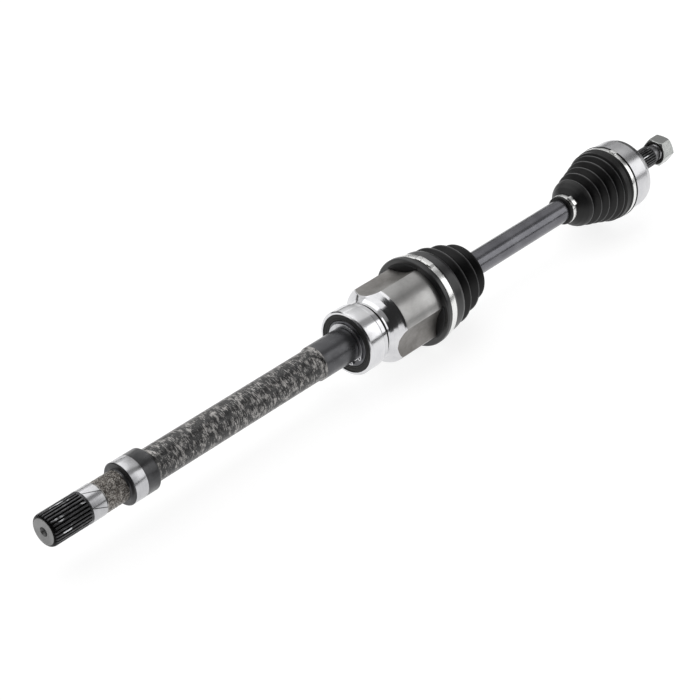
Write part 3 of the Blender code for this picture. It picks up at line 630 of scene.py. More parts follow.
def bar_roughness(x, angle):
    """Height of the forged skin: lumpy on the neck, flaked on the bar, and none on the turned lands."""
    station = (x - GEARBOX_END) / MM
    if NECK_SPAN[0] < station < NECK_SPAN[1]:
        edge = min(1.0, (station - NECK_SPAN[0]) / 2.0, (NECK_SPAN[1] - station) / 2.0)
        lumps, pits = noise_at(x, angle, NECK_RADIUS, 0.33), noise_at(x, angle, NECK_RADIUS, 0.9)
        return edge * MM * (0.5 * lumps + 0.35 * pits - 0.05)
    if BAR_SPAN[0] < station < BAR_SPAN[1]:
        edge = min(1.0, (station - BAR_SPAN[0]) / 3.0, (BAR_SPAN[1] - station) / 2.0)
        side, up = BAR_RADIUS * math.cos(angle) * 0.16, BAR_RADIUS * math.sin(angle) * 0.16
        return edge * MM * (0.3 * noise.fractal(Vector((x / MM * 0.45, side, up)), 0.9, 2.0, 4) * 0.5)
    return 0.0


bar_sections = [
    (spline_steel, [(44.0, 14.8), (44.0, 16.6), (45.6, PILOT_RADIUS, 0.3), (46.6, PILOT_RADIUS)]),
    (pilot, [(46.6, PILOT_RADIUS), (62.8, PILOT_RADIUS)]),
    (worn_scale, [(62.8, PILOT_RADIUS), (63.4, 16.9, 0.3), (65.0, NECK_RADIUS)]),
    (neck_steel, [(65.0, NECK_RADIUS), (90.6, NECK_RADIUS)], {"longest": 0.6}),
    # The land's near flank, from 90.6 to 93.9, takes the dark band's finish: painted shade.
    (
        dark_band_and_flank_shade,
        [(90.6, NECK_RADIUS), (92.6, 16.9, 1.6), (93.0, 21.6, 0.4), (93.9, LAND_RADIUS)],
        {"steps": 6},
    ),
    (land_steel, [(93.9, LAND_RADIUS), (109.0, LAND_RADIUS)]),
    (
        dark_band_and_flank_shade,
        [(109.0, LAND_RADIUS), (109.3, 22.35), (124.4, 22.35, 0.8), (126.2, 20.6, 0.8), (128.0, 18.6)],
    ),
    (worn_scale, [(128.0, 18.6), (129.6, BAR_RADIUS, 0.6), (131.5, BAR_RADIUS)]),
    (scale_steel, [(131.5, BAR_RADIUS), (353.5, BAR_RADIUS)], {"longest": 1.4}),
    (worn_scale, [(353.5, BAR_RADIUS), (355.0, 17.6, 0.8), (357.2, 19.0, 0.8), (358.6, 19.0)]),
    (charcoal, [(358.6, 19.0), (404.3, 19.0, 0.3), (404.6, 18.3), (406.9, 18.3)]),
    (ground, [(406.9, 18.3), (406.9, 19.7), (428.0, 19.7)]),
]
bar_outline = [(finish, outline(GEARBOX_END, run, **dict(*extra))) for finish, run, *extra in bar_sections]
bar = lathe("intermediate_shaft_bar", bar_outline, 160, rough=bar_roughness)
keep(bar, "inboard_shaft", "forged_steel", "intermediate_shaft")


# ---------------------------------------------------------------- tripod housing

VALLEY_FLOOR, VALLEY_ARC = 35.8, 56.7
TRACK_HALF_WIDTH, TRACK_DEPTH = 16.5, 35.6
LOBE_RADIUS, BORE_RADIUS, MOUTH, BORE_FLOOR = 43.5, 24.0, 123.0, 58.0
VALLEY_START = 29.0


def valley_reach(off_valley):
    """How far the scooped valley's surface lies from the axle's line, at this angle from its middle."""
    centre = VALLEY_FLOOR + VALLEY_ARC
    inside = VALLEY_ARC**2 - (centre * math.sin(off_valley)) ** 2
    return centre * math.cos(off_valley) - math.sqrt(inside) if inside > 0 else 99.0


def ridge_angle(radius):
    """Angle from a valley's middle to the ridge where it meets a turned surface of this radius."""
    centre = VALLEY_FLOOR + VALLEY_ARC
    if radius <= VALLEY_FLOOR + 0.05:
        return math.radians(3.0)
    cosine = (radius**2 + centre**2 - VALLEY_ARC**2) / (2 * radius * centre)
    return max(math.radians(3.0), math.acos(min(1.0, cosine)))


def track_reach(off_lobe, bore):
    """How far the bore lies from the axle's line: round, with a straight-sided track under each lobe."""
    side = abs(math.sin(off_lobe))
    flank = TRACK_HALF_WIDTH / side if side > 0.01 else 99.0
    return max(bore, min(flank, TRACK_DEPTH / max(math.cos(off_lobe), 0.2)))


def sector_angles(radius):
    """Column angles from a valley's middle to a lobe's middle, crowded at the ridge."""
    ridge, spread, end = ridge_angle(radius), math.radians(2.6), math.radians(60.0)
    low, high = ridge - spread, ridge + spread
    angles = [low * i / 9 for i in range(9)]
    angles += [low + (high - low) * i / 10 for i in range(10)]
    angles += [high + (end - high) * i / 11 for i in range(11)]
    return angles + [end]


def housing_row(x, radius, bore=False):
    """One ring of the housing, and whether each of its points is on a scooped valley."""
    angles = sector_angles(LOBE_RADIUS if bore else radius)
    row, kinds = [], []
    for middle in VALLEY_ANGLES:
        signed = [-a for a in reversed(angles[1:-1])] + angles
        for off in signed:
            if bore:
                reach = track_reach(math.radians(60.0) - abs(off), radius)
            else:
                reach = smooth_min(radius, valley_reach(off), 0.9) if x > VALLEY_START else radius
                edge = max(0.0, min(1.0, (x - 49.0) / 4.0))
                reach += edge * 0.16 * noise_at(x * MM, middle + off, reach, 0.09)
            row.append(polar(FACE + x * MM, reach * MM, middle + off))
            kinds.append(not bore and x > VALLEY_START and valley_reach(off) < radius)
    return row, kinds


def tripod_housing():
    turned = [(20.35, 19.8), (20.5, 33.0, 0.5), (21.2, 33.9, 0.4), (26.6, 33.9, 0.6), (28.2, 30.6, 0.5)]
    turned += [(30.0, 30.4, 0.6), (31.0, 31.4, 0.4), (33.4, 31.4, 1.0), (37.6, 33.3, 4.0), (41.9, 37.3, 4.0)]
    turned += [(45.7, 42.0, 1.2), (48.0, LOBE_RADIUS, 0.9), (52.0, LOBE_RADIUS)]
    lobes = [(54.5, LOBE_RADIUS), (121.6, LOBE_RADIUS), (122.9, 42.3, 0.3), (MOUTH, 41.6)]
    outside = outline(0.0, turned, 6, longest=1.6) + outline(0.0, lobes, 4, longest=2.8)
    inside = [(MOUTH, 29.2), (122.0, 28.6)]
    inside += [(x, BORE_RADIUS) for x in (111.0, 95.0, 75.0, BORE_FLOOR)]
    made = [housing_row(x / MM, radius / MM) for x, radius in outside]
    made += [housing_row(x, radius, bore=True) for x, radius in inside]
    rows, kinds = [row for row, _ in made], [kind for _, kind in made]
    rows.append([(FACE + BORE_FLOOR * MM, 0.0, 0.0)])
    shoulder = next(i for i, (x, _) in enumerate(outside) if x / MM > 47.2)
    groove = [i for i, (x, _) in enumerate(outside) if 27.2 < x / MM < 30.4]

    def finish_of(a, i):
        """The number of the finish: polished, lobe, valley, ground bore, and near-black painted shade in the
        groove.
        """
        if a >= len(outside) - 1:
            return 3
        if kinds[a][i] and kinds[a][(i + 1) % len(kinds[a])]:
            return 2
        if a in groove:
            return 4
        return 0 if a < shoulder else 1

    finishes = [polished, lobe, valley, ground, near_black_shade]
    return skin("tripod_housing", rows, finishes, finish_of, sharp=30.0)


keep(tripod_housing(), "inboard_shaft", "forged_steel", "intermediate_shaft")


# ---------------------------------------------------------------- support bearing


def mirrored(points, middle):
    return [(2 * middle - x, r) for x, r in reversed(points)]


BEARING_MIDDLE = 10.0
raceway = [(-3.5, 31.67), (-1.8, 32.77), (0.0, 33.1), (1.8, 32.77), (3.5, 31.67)]
outer_ring = [(0.0, 32.8, 0.15), (0.0, 34.7, 0.12), (1.1, 36.0, 0.12), (18.9, 36.0, 0.12), (20.0, 34.7, 0.12)]
outer_ring += [(20.0, 32.8, 0.15), (17.2, 33.4, 0.2), (17.2, 30.6), (14.33, 30.6)]
outer_ring += [(BEARING_MIDDLE + x, r) for x, r in reversed(raceway)]
outer_ring += [(5.67, 30.6), (2.8, 30.6), (2.8, 33.4, 0.2)]
made = turned_ring("bearing_outer_ring_ground", ring_steel, outer_ring, 180)
keep(made, "support_bearing", "ground_steel", "bearing_outer_ring")
seal = [(2.3, 32.6), (0.75, 32.6, 0.25), (0.55, 32.1, 0.25), (0.85, 31.7, 0.2), (0.85, 28.6, 0.15)]
seal += [(1.15, 28.35, 0.15), (1.15, 27.7, 0.15), (0.7, 27.4, 0.2), (0.6, 26.4, 0.3), (1.0, 25.9, 0.2)]
near_seal = outline(FACE, seal + [(2.3, 25.9)], closed=True)
for side, points in (("gearbox", near_seal), ("wheel", mirrored(near_seal, FACE + BEARING_MIDDLE * MM))):
    made = lathe(f"bearing_seal_{side}", [(seal_rubber, points)], 144, closed=True)
    keep(made, "support_bearing", "black_rubber", f"bearing_seal_{side}_side")
inner_ring = [(0.0, 20.0, 0.3), (0.0, 22.8, 0.1), (0.12, 23.0, 0.1), (0.12, 24.9, 0.2), (0.6, 25.6, 0.2)]
inner_ring += [(5.67, 25.6)] + [(BEARING_MIDDLE + x, 56.2 - r) for x, r in raceway]
inner_ring += [(14.33, 25.6), (19.5, 25.6, 0.2), (20.0, 25.1, 0.2), (20.0, 20.0, 0.3)]
made = turned_ring("bearing_inner_ring_ground", race_steel, inner_ring, 144)
keep(made, "inboard_shaft", "ground_steel", "bearing_inner_ring")


def flat_plate(name, loops, thickness, edge, finish):
    """A plate cut from flat outlines, holes included, with softly rounded edges. It lies across the axle."""
    curve = bpy.data.curves.new(name, "CURVE")
    curve.dimensions = "2D"
    curve.fill_mode = "BOTH"
    curve.extrude = thickness / 2 - edge
    curve.bevel_depth = edge
    curve.bevel_resolution = 2
    curve.offset = -edge
    for loop in loops:
        run = curve.splines.new("POLY")
        run.points.add(len(loop) - 1)
        for point, (y, z) in zip(run.points, loop):
            point.co = (y, z, 0.0, 1.0)
        run.use_cyclic_u = True
    flat = placed(name, curve)
    mesh = bpy.data.meshes.new_from_object(flat.evaluated_get(bpy.context.evaluated_depsgraph_get()))
    bpy.data.objects.remove(flat)
    mesh.name = name
    mesh.materials.clear()
    mesh.materials.append(finish.material)
    mesh.transform(Matrix(((0, 0, 1, 0), (1, 0, 0, 0), (0, 1, 0, 0), (0, 0, 0, 1))))
    smoothed(mesh, 40.0)
    return placed(name, mesh)


def bearing_circlip():
    """Tapered spring ring in the shaft's groove, with a drilled lug at each side of its opening."""
    opening, half_gap = math.radians(225.0), math.radians(15.0)
    start, end = opening + half_gap, opening - half_gap + math.tau
    outer, inner = [], []
    for i in range(97):
        t = i / 96
        angle = start + (end - start) * t
        taper = math.sin(math.pi * t)
        outer.append((angle, 22.2 + 0.95 * taper))
        inner.append((angle, 18.9))
    lug = [(0.035, 23.0), (0.06, 24.1), (0.11, 24.7), (0.17, 24.7), (0.22, 24.1), (0.25, 22.9)]
    first = [(start + a - 0.02, min(r, 23.35)) for a, r in lug]
    last = [(end - a + 0.02, min(r, 23.35)) for a, r in reversed(lug)]
    ring = [(start, 21.2)] + first + outer[9:-9] + last + [(end, 21.2)] + list(reversed(inner))
    loops = [[(r * MM * math.cos(a), r * MM * math.sin(a)) for a, r in ring]]
    for angle in (start + 0.12, end - 0.12):
        centre = (21.5 * MM * math.cos(angle), 21.5 * MM * math.sin(angle))
        steps = [math.tau * i / 16 for i in range(16)]
        hole = 0.95 * MM
        loops.append([(centre[0] + hole * math.cos(a), centre[1] + hole * math.sin(a)) for a in steps])
    made = flat_plate("bearing_circlip_spring", loops, 1.5 * MM, 0.12 * MM, spring_steel)
    made.data.transform(Matrix.Translation((FACE - 1.25 * MM, 0.0, 0.0)))
    return made


keep(bearing_circlip(), "inboard_shaft", "pale_steel", "bearing_circlip")


# ---------------------------------------------------------------- half shaft and fixed joint

TRIPOD_X = FACE + 99.0 * MM
half = [(-14.0, 0.0), (-14.0, 11.2, 0.3), (-13.0, 11.7, 0.2), (12.0, 11.7, 0.4), (14.0, 12.2, 0.6)]
half += [(40.0, 12.2, 8.0), (60.0, 13.5, 8.0), (279.0, 13.5, 6.0), (290.0, 11.9, 6.0), (337.0, 11.9, 0.6)]
half += [(339.0, 11.7, 0.4), (364.3, 11.7, 0.2), (365.0, 11.0), (365.0, 0.0)]
made = lathe("halfshaft_painted", [(paint, outline(TRIPOD_X, half, 8))], 96)
keep(made, "half_shaft", "painted_steel", "halfshaft")


def applied(obj):
    """Gives an object the mesh that its modifiers make."""
    graph = bpy.context.evaluated_depsgraph_get()
    mesh = bpy.data.meshes.new_from_object(obj.evaluated_get(graph))
    obj.modifiers.clear()
    obj.data = mesh
    smoothed(mesh, 32.0)
    return obj


CAVITY_RADIUS, BELL_RADIUS = 32.4, 42.0
BALL_CIRCLE, BALL_TRACK = 28.0, 9.9


def bell():
    """Bell of the fixed joint: ground outside, a ball-shaped cavity, and six curved tracks."""
    cavity = [(27.5, 0.0)]
    for degrees in (31.9, 45.0, 58.0, 71.0, 84.0, 97.0, 112.7):
        angle = math.radians(degrees)
        cavity.append((CAVITY_RADIUS * math.cos(angle), CAVITY_RADIUS * math.sin(angle)))
    cavity += [(-14.9, 33.6, 0.2), (-15.0, 40.0, 0.3), (-14.6, 40.6)]
    outside = [(-14.6, 40.6), (3.4, 40.6, 0.1), (3.7, 41.7, 0.2), (4.2, BELL_RADIUS, 0.2)]
    outside += [(25.4, BELL_RADIUS, 2.0), (31.0, 41.1, 2.0), (34.6, 37.9, 1.4), (36.0, 35.2, 1.2)]
    outside += [(36.0, 17.0), (35.6, 16.5), (35.6, 14.4, 0.6), (39.5, 12.2)]
    shell = outline(CV_X, outside, 6) + [(CV_X + 39.5 * MM, 0.0)]
    made = lathe("cv_bell_ground", [(ground, outline(CV_X, cavity)), (ground, shell)], 168)
    for i in range(6):
        angle = math.tau * i / 6
        rows = []
        for step in range(-12, 13):
            swing = math.radians(40.0) * step / 12
            ring = []
            for k in range(20):
                turn = math.tau * k / 20
                reach, side = BALL_CIRCLE + BALL_TRACK * math.cos(turn), BALL_TRACK * math.sin(turn)
                point = Vector((reach * math.sin(swing), side, reach * math.cos(swing))) * MM
                point = Matrix.Rotation(angle - math.radians(90.0), 3, "X") @ point
                ring.append(tuple(point + Vector((CV_X, 0.0, 0.0))))
            rows.append(ring)
        near, far = [
            [tuple(sum((Vector(p) for p in ring), Vector()) / len(ring))] for ring in (rows[0], rows[-1])
        ]
        cutter = skin(f"track_cutter_{i}", [near] + rows + [far], [ground])
        cut = made.modifiers.new("track", "BOOLEAN")
        cut.operation, cut.object, cut.solver = "DIFFERENCE", cutter, "EXACT"
    applied(made)
    for obj in [o for o in bpy.data.objects if o.name.startswith("track_cutter_")]:
        bpy.data.objects.remove(obj)
    return made


keep(bell(), "wheel_end", "ground_steel", "cv_bell_and_stub")

stub_spline = splined_rod(
    "stub_spline",
    CV_X,
    spline_rows(38.6, 85.0, STUB_TIP, STUB_ROOT, 0.5, 4.0, 12.4),
    STUB_TIP,
    STUB_ROOT,
    26,
    [stub_steel, stub_teeth],
    (0, 1, 0),
    [(38.0, 0.0), (38.0, 10.0)],
    [(86.0, 11.4), (87.0, 10.3), (87.4, 10.2), (96.0, 10.2), (96.4, 9.2), (96.4, 0.0)],
)
keep(stub_spline, "wheel_end", "ground_steel", "cv_bell_and_stub")


def stub_thread():
    """Threaded end of the stub, chamfered, with a lathe centre in its face."""
    start, end, pitch, columns = 96.0, 116.0, 1.5, 64
    rows = [[(CV_X + (start - 0.4) * MM, 0.0, 0.0)]]
    count = int((end - start) / pitch * 8)
    for i in range(count + 1):
        x = start + (end - start) * i / count
        row = []
        for k in range(columns):
            turn = k / columns
            wave = abs(((x / pitch - turn) % 1.0) * 2 - 1)
            reach = 10.2 - 0.85 * max(0.0, min(1.0, (wave - 0.12) / 0.76))
            reach = min(reach, 9.2 + max(0.0, end - x) * 1.0, 9.3 + (x - start) * 1.2)
            row.append(polar(CV_X + x * MM, reach * MM, turn * math.tau))
        rows.append(row)
    for x, r in ((end, 8.8), (end, 3.3), (end - 0.6, 2.9), (end - 2.6, 1.5), (end - 5.0, 1.4)):
        rows.append(ring_of(CV_X + x * MM, r * MM, columns))
    rows.append([(CV_X + (end - 5.6) * MM, 0.0, 0.0)])
    return skin("stub_thread", rows, [stub_steel], sharp=30.0)


keep(stub_thread(), "wheel_end", "ground_steel", "cv_bell_and_stub")


def axle_nut():
    """Hexagon nut: coned corners at both ends, a countersink and a shallow washer face."""
    flats, height, thread = 15.0, 9.25, 10.55
    per_flat = 18
    columns = []
    for flat in range(6):
        for k in range(per_flat):
            off = math.radians(60.0) * ((k + 0.5) / per_flat - 0.5)
            off = math.radians(30.0) * math.sin(off / math.radians(30.0) * math.pi / 2)
            columns.append((math.radians(60.0 * flat + 30.0) + off, off))
    cone = math.tan(math.radians(32.0))
    rows = [-1.0, -0.985, -0.96, -0.93, -0.9, -0.87, -0.84, -0.8, -0.75, -0.6, -0.3, 0.0]
    rows += [-x for x in reversed(rows[:-1])]
    made = []
    for x in rows:
        depth = (1.0 - abs(x)) * height
        limit = flats - 0.5 + depth / cone
        row = []
        for angle, off in columns:
            reach = smooth_min(flats / math.cos(off), limit, 0.35)
            reach = min(reach, 17.32)
            row.append(polar(NUT_X + x * height * MM, reach * MM, angle))
        made.append(row)

    def plain(x, radius):
        return [polar(NUT_X + x * MM, radius * MM, angle) for angle, _ in columns]

    bore = [(height, 11.9), (height - 0.6, 11.9), (height - 1.9, thread), (-height + 1.9, thread)]
    bore += [(-height + 0.6, 11.9), (-height, 11.9)]
    made += [plain(x, r) for x, r in bore]

    def finish_of(a, _):
        # The countersink and bore are painted near black, as shade.
        return int(a > len(rows))

    return skin("axle_nut_plated", made, [zinc, near_black_shade], finish_of, closed=True, sharp=24.0)


keep(axle_nut(), "wheel_end", "zinc_steel", "axle_nut")


# ---------------------------------------------------------------- clamps


BAND_SIDES = 192


def band(name, start, end, bore, thickness, overlap=None):
    """A steel band round a cuff, with rolled edges. A second layer lies on it between the overlap angles."""
    edge = min(0.3, thickness * 0.35)
    section = [(start, bore), (start, bore + thickness, edge), (end, bore + thickness, edge), (end, bore)]
    rows = []
    for x, radius in outline(FACE, section, 3, closed=True):
        outside = radius > (bore + 0.5 * thickness) * MM
        row = []
        for i in range(BAND_SIDES):
            angle = math.tau * i / BAND_SIDES
            doubled = outside and overlap and overlap[0] <= math.degrees(angle) <= overlap[1]
            row.append(polar(x, radius + (0.8 * thickness * MM if doubled else 0.0), angle))
        rows.append(row)
    return skin(name, rows, [band_steel], closed=True, sharp=30.0)


def crimped_ear(name, start, end, radius, angle, path, metal):
    """A folded ear on a band: the path is (round, up) in millimetres, and the sheet keeps its thickness."""
    centre = [Vector(point) for point in path]
    outer, inner = [], []
    for i, point in enumerate(centre):
        before, after = centre[max(i - 1, 0)], centre[min(i + 1, len(centre) - 1)]
        along = (after - before).normalized()
        normal = Vector((-along.y, along.x))
        outer.append(point + normal * metal / 2)
        inner.append(point - normal * metal / 2)
    loop = outer + list(reversed(inner))
    edge = 0.35
    slices = [(start, edge), (start + 0.12, 0.1), (start + edge, 0.0)]
    slices += [(end - edge, 0.0), (end - 0.12, 0.1), (end, edge)]
    rows = []
    for x, shrink in slices:
        row = []
        for point, other in zip(loop, reversed(loop)):
            inward = (other - point).normalized() * shrink * min(1.0, metal / 2)
            side, up = point + inward
            row.append(polar(FACE + x * MM, (radius + up) * MM, math.radians(angle) - side / radius))
        rows.append(row)
    made = skin(name, rows, [band_steel], sharp=34.0)
    mesh = made.data
    count = len(loop)
    verts = [tuple(v.co) for v in mesh.vertices]
    faces = [tuple(p.vertices) for p in mesh.polygons]
    last = (len(rows) - 1) * count
    for i in range(len(outer) - 1):
        a, b, c, d = i, i + 1, count - 2 - i, count - 1 - i
        faces.append((a, d, c, b))
        faces.append((last + a, last + b, last + c, last + d))
    bpy.data.objects.remove(made)
    return finish_mesh(name, verts, faces, [band_steel], [0] * len(faces), 34.0)


def arch(width, height, foot, pinch=0.0):
    """Path of an omega-shaped ear: out along the band, up, over and down again."""
    w, h = width / 2, height
    path = [(-w - foot, 0.0), (-w - 0.3, 0.05), (-w + 0.15, 0.35), (-w + 0.35 + pinch, 0.45 * h)]
    path += [(-w + 0.1, 0.8 * h), (-w + 0.5, 0.96 * h), (-w + 1.2, h), (0.0, h - 0.25)]
    return path + [(-x, y) for x, y in reversed(path[:-1])]


made = band("inner_boot_large_clamp_band", 111.0, 118.5, 48.4, 1.15, (86.0, 104.0))
keep(made, "inboard_shaft", "pale_steel", "inner_boot_large_clamp")
low_ear = [(-9.0, 0.35), (-7.4, 0.5), (-6.6, 0.85), (-5.4, 0.9), (-2.0, 0.72)]
low_ear += [(-x, up) for x, up in reversed(low_ear)]
made = crimped_ear("inner_boot_large_clamp_ear", 111.6, 117.9, 50.0, 100.0, low_ear, 0.6)
keep(made, "inboard_shaft", "pale_steel")
for name, span, bore, metal, angle, ear, body in (
    ("inner_boot_small_clamp", (191.4, 197.2), 16.1, 0.8, 60.0, (5.2, 2.5), "half_shaft"),
    ("outer_boot_small_clamp", (365.3, 371.1), 16.1, 1.0, 126.0, (10.6, 3.0), "half_shaft"),
    ("outer_boot_large_clamp", (444.9, 450.0), 42.6, 0.9, 100.0, (7.0, 2.6), "wheel_end"),
):
    keep(band(f"{name}_band", *span, bore, metal), body, "pale_steel", name)
    path = arch(*ear, 1.6, 0.35)
    made = crimped_ear(f"{name}_ear", span[0] + 0.3, span[1] - 0.3, bore + metal, angle, path, 0.7)
    keep(made, body, "pale_steel")


# ---------------------------------------------------------------- boots

BOOT_THICKNESS, LAST_PLEAT_THICKNESS = 1.4, 1.1


def sleeve(name, corners, sleeve_rubber, crests, thickness=BOOT_THICKNESS):
    """A stretch of boot: its outside outline, and an inside that keeps the rubber's thickness. The crests of
    its pleats, at these stations, carry a painted highlight: a lighter, glossier rubber than the rest."""
    outside = outline(FACE, corners, 6, longest=0.7)
    sections = []
    for start, end in zip(outside, outside[1:]):
        station = ((start[0] + end[0]) / 2 - FACE) / MM
        finish = crest_highlight_rubber if any(abs(station - crest) < 0.8 for crest in crests) else sleeve_rubber
        sections.append((finish, [start, end]))
    sections.append((sleeve_rubber, [(x, r - thickness * MM) for x, r in reversed(outside)]))
    return lathe(name, sections, 128, closed=True, sharp=60.0)


def bush():
    """Rubber bush that fills the housing's valleys up to the round cuff: three bulging segments."""
    start, end, rim = 102.0, 119.3, 45.75
    slices = ((start, 1.2), (start + 0.15, 0.5), (start + 0.6, 0.12), (start + 1.4, 0.0), (end, 0.0))
    offs = [math.radians(27.5) * k / 16 for k in range(-16, 17)]
    verts, faces, count = [], [], 2 * len(offs)
    for middle in VALLEY_ANGLES:
        base = len(verts)
        for x, lift in slices:
            x = FACE + x * MM
            verts += [polar(x, (rim - lift) * MM, middle + off) for off in offs]
            for off in reversed(offs):
                low = min(valley_reach(off), 43.6) + 0.15 + (lift if lift > 0.3 else 0.0)
                verts.append(polar(x, min(low, rim - lift - 0.3) * MM, middle + off))
        for a in range(len(slices) - 1):
            first, second = base + a * count, base + (a + 1) * count
            for i in range(count):
                j = (i + 1) % count
                faces.append((first + i, second + i, second + j, first + j))
        last = base + (len(slices) - 1) * count
        for i in range(len(offs) - 1):
            faces.append((base + i, base + i + 1, base + count - 2 - i, base + count - 1 - i))
            faces.append((last + i, last + count - 1 - i, last + count - 2 - i, last + i + 1))
    return finish_mesh("inner_boot_bush", verts, faces, [bush_rubber], [0] * len(faces), 40.0)


keep(bush(), "inboard_shaft", "black_rubber", "inner_boot_trilobe_bush")

cuff = [(103.2, 43.9), (103.2, 49.6, 0.7), (104.6, 50.8, 0.8), (109.2, 50.8, 0.8), (110.3, 48.35, 0.5)]
cuff += [(118.9, 48.35, 0.3), (119.7, 47.5, 0.3), (119.7, 43.9)]
made = turned_ring("inner_boot_large_cuff_moulded", inner_rubber, cuff, 160)
keep(made, "inboard_shaft", "black_rubber", "inner_boot_large_cuff")
plunging = [(119.6, 47.4), (119.9, 47.5, 0.2), (123.0, 46.7, 1.5), (131.5, 47.3, 3.0), (134.6, 46.6, 0.8)]
plunging += [(138.6, 38.2, 1.0), (140.0, 38.6)]
tilting = [(140.0, 38.6), (145.6, 44.4, 1.2), (147.3, 45.0, 0.5), (149.0, 43.6, 0.6), (156.4, 31.2, 1.0)]
tilting += [(158.0, 31.6)]
swinging = [(158.0, 31.6), (165.3, 39.2, 1.2), (167.0, 39.9, 0.5), (168.7, 38.4, 0.6), (174.6, 26.0, 1.0)]
swinging += [(176.4, 26.4, 1.0), (182.6, 32.8, 1.2), (184.2, 33.4, 0.6), (186.2, 31.4, 1.0)]
swinging += [(188.6, 25.0, 1.2), (189.4, 18.0, 0.8), (190.0, 17.1)]
# The inner boot's pleats take the darker copy of its rubber: painted shade.
for stretch, corners, sleeve_rubber, crest, bodies, span in (
    ("plunging", plunging, inner_rubber, 134.3, ("inboard_shaft", "plunge_carrier"), (119.8, 140.0)),
    ("tilting", tilting, shaded_pleat_rubber, 147.3, ("plunge_carrier", "tilt_carrier"), (140.0, 158.0)),
    ("swinging", swinging, shaded_pleat_rubber, 167.0, ("tilt_carrier", "half_shaft"), (158.0, 189.7)),
):
    piece = sleeve(f"inner_boot_{stretch}", corners, sleeve_rubber, [crest])
    keep(piece, None, "black_rubber", f"inner_boot_{stretch}_pleats")
    ends = [(FACE + x * MM, 0.0, 0.0) for x in span]
    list(bodies)
    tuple(ends[0])
    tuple(ends[1])
    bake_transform(piece)
small = [(189.9, 13.6), (189.9, 17.1), (190.6, 17.1, 0.4), (191.1, 16.1, 0.3), (197.5, 16.1, 0.3)]
small += [(198.0, 17.0, 0.4), (199.4, 16.7, 0.6), (199.8, 15.4, 0.5), (199.8, 13.6)]
made = turned_ring("inner_boot_small_cuff_moulded", inner_rubber, small, 96)
keep(made, "half_shaft", "black_rubber", "inner_boot_small_cuff")

small = [(361.8, 13.6), (361.8, 15.4, 0.5), (362.4, 16.7, 0.6), (364.4, 17.0, 0.4), (365.0, 16.1, 0.3)]
small += [(371.3, 16.1, 0.3), (371.9, 17.3), (371.9, 13.6)]
made = turned_ring("outer_boot_small_cuff_moulded", boot_rubber, small, 96)
keep(made, "half_shaft", "black_rubber", "outer_boot_small_cuff")
dome = [(371.85, 17.2), (373.2, 18.6, 1.0), (377.0, 22.8, 5.0), (382.0, 26.7, 4.0), (384.0, 27.6)]
first = [(384.0, 27.6), (385.6, 28.2, 0.8), (387.5, 28.6, 0.9), (389.0, 27.2, 0.8), (392.4, 23.2, 0.9)]
first += [(393.4, 23.4, 0.8), (397.6, 31.2, 0.8), (398.9, 32.2, 0.8), (400.4, 30.8, 0.8), (403.6, 26.5, 0.9)]
first += [(408.0, 33.0)]
second = [(408.0, 33.0), (408.6, 34.0, 0.5), (409.8, 35.0, 0.8), (411.3, 33.6, 0.8), (414.6, 29.6, 0.9)]
second += [(415.6, 29.8, 0.8), (419.6, 37.1, 0.8), (420.9, 38.3, 0.8), (422.4, 36.8, 0.8), (425.2, 32.8, 0.8)]
second += [(429.0, 39.3)]
last = [(429.0, 39.3), (429.6, 40.2, 0.4), (430.8, 41.0, 0.7), (431.7, 40.2, 0.5), (432.8, 39.4, 0.5)]
last += [(434.3, 42.4, 0.6), (436.5, 42.4)]
for stretch, corners, crests, bodies, span in (
    ("dome", dome, [], ("half_shaft", "cv_first_carrier"), (374.0, 384.0)),
    ("first_pleats", first, [387.5, 398.9], ("cv_first_carrier", "cv_cage"), (392.0, 408.0)),
    ("second_pleats", second, [409.8, 420.9], ("cv_cage", "cv_second_carrier"), (411.0, 429.0)),
    ("last_pleats", last, [430.8], ("cv_second_carrier", "wheel_end"), (429.0, 435.2)),
):
    thickness = LAST_PLEAT_THICKNESS if stretch == "last_pleats" else BOOT_THICKNESS
    piece = sleeve(f"outer_boot_{stretch}_moulded", corners, boot_rubber, crests, thickness)
    keep(piece, None, "black_rubber", f"outer_boot_{stretch}")
    ends = [(FACE + x * MM, 0.0, 0.0) for x in span]
    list(bodies)
    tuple(ends[0])
    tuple(ends[1])
    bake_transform(piece)
cuff = [(436.4, 40.75), (436.4, 42.4), (441.8, 42.5, 0.6), (443.0, 43.4, 0.5), (443.9, 43.4, 0.4)]
cuff += [(444.4, 42.5, 0.3), (450.4, 42.5, 0.3), (450.9, 43.9, 0.4), (452.4, 43.9, 0.6), (453.0, 42.9, 0.4)]
cuff += [(453.0, 40.75)]
made = turned_ring("outer_boot_large_cuff_moulded", boot_rubber, cuff, 144)
keep(made, "wheel_end", "black_rubber", "outer_boot_large_cuff")


# ---------------------------------------------------------------- finishes of the sealed inner pieces

for node, obj in bpy.data.objects.items():
    kind = None
    if node.startswith(("roller_clip", "needle_sleeve", "spider_circlip", "race_circlip", "bearing_cage")):
        kind = spring_steel
    elif node.startswith(("bearing_ball", "roller_", "tripod_spider", "cv_inner_race", "cv_ball")):
        kind = ground
    if kind and obj.type == "MESH" and node in frame["nodes"]:
        for slot in obj.material_slots:
            slot.material = kind.material


# ---------------------------------------------------------------- floor, light and camera


FLOOR_REACH = 7.0


def studio_floor():
    """Pale floor with a little light of its own, as a lit sweep has, so that shadows stay faint."""
    mesh = bpy.data.meshes.new("studio_floor")
    corners = [(-1, -1), (1, -1), (1, 1), (-1, 1)]
    mesh.from_pydata([(x * FLOOR_REACH, y * FLOOR_REACH, FLOOR_Z) for x, y in corners], [], [(0, 1, 2, 3)])
    made = placed("studio_floor", mesh)
    look = Finish("studio_floor", roughness=0.9)
    look.shader.inputs["Base Color"].default_value = (0.3, 0.3, 0.3, 1.0)
    look.shader.inputs["Specular IOR Level"].default_value = 0.0
    look.shader.inputs["Emission Color"].default_value = (1.0, 1.0, 1.0, 1.0)
    look.shader.inputs["Emission Strength"].default_value = 0.84
    mesh.materials.append(look.material)


studio_floor()


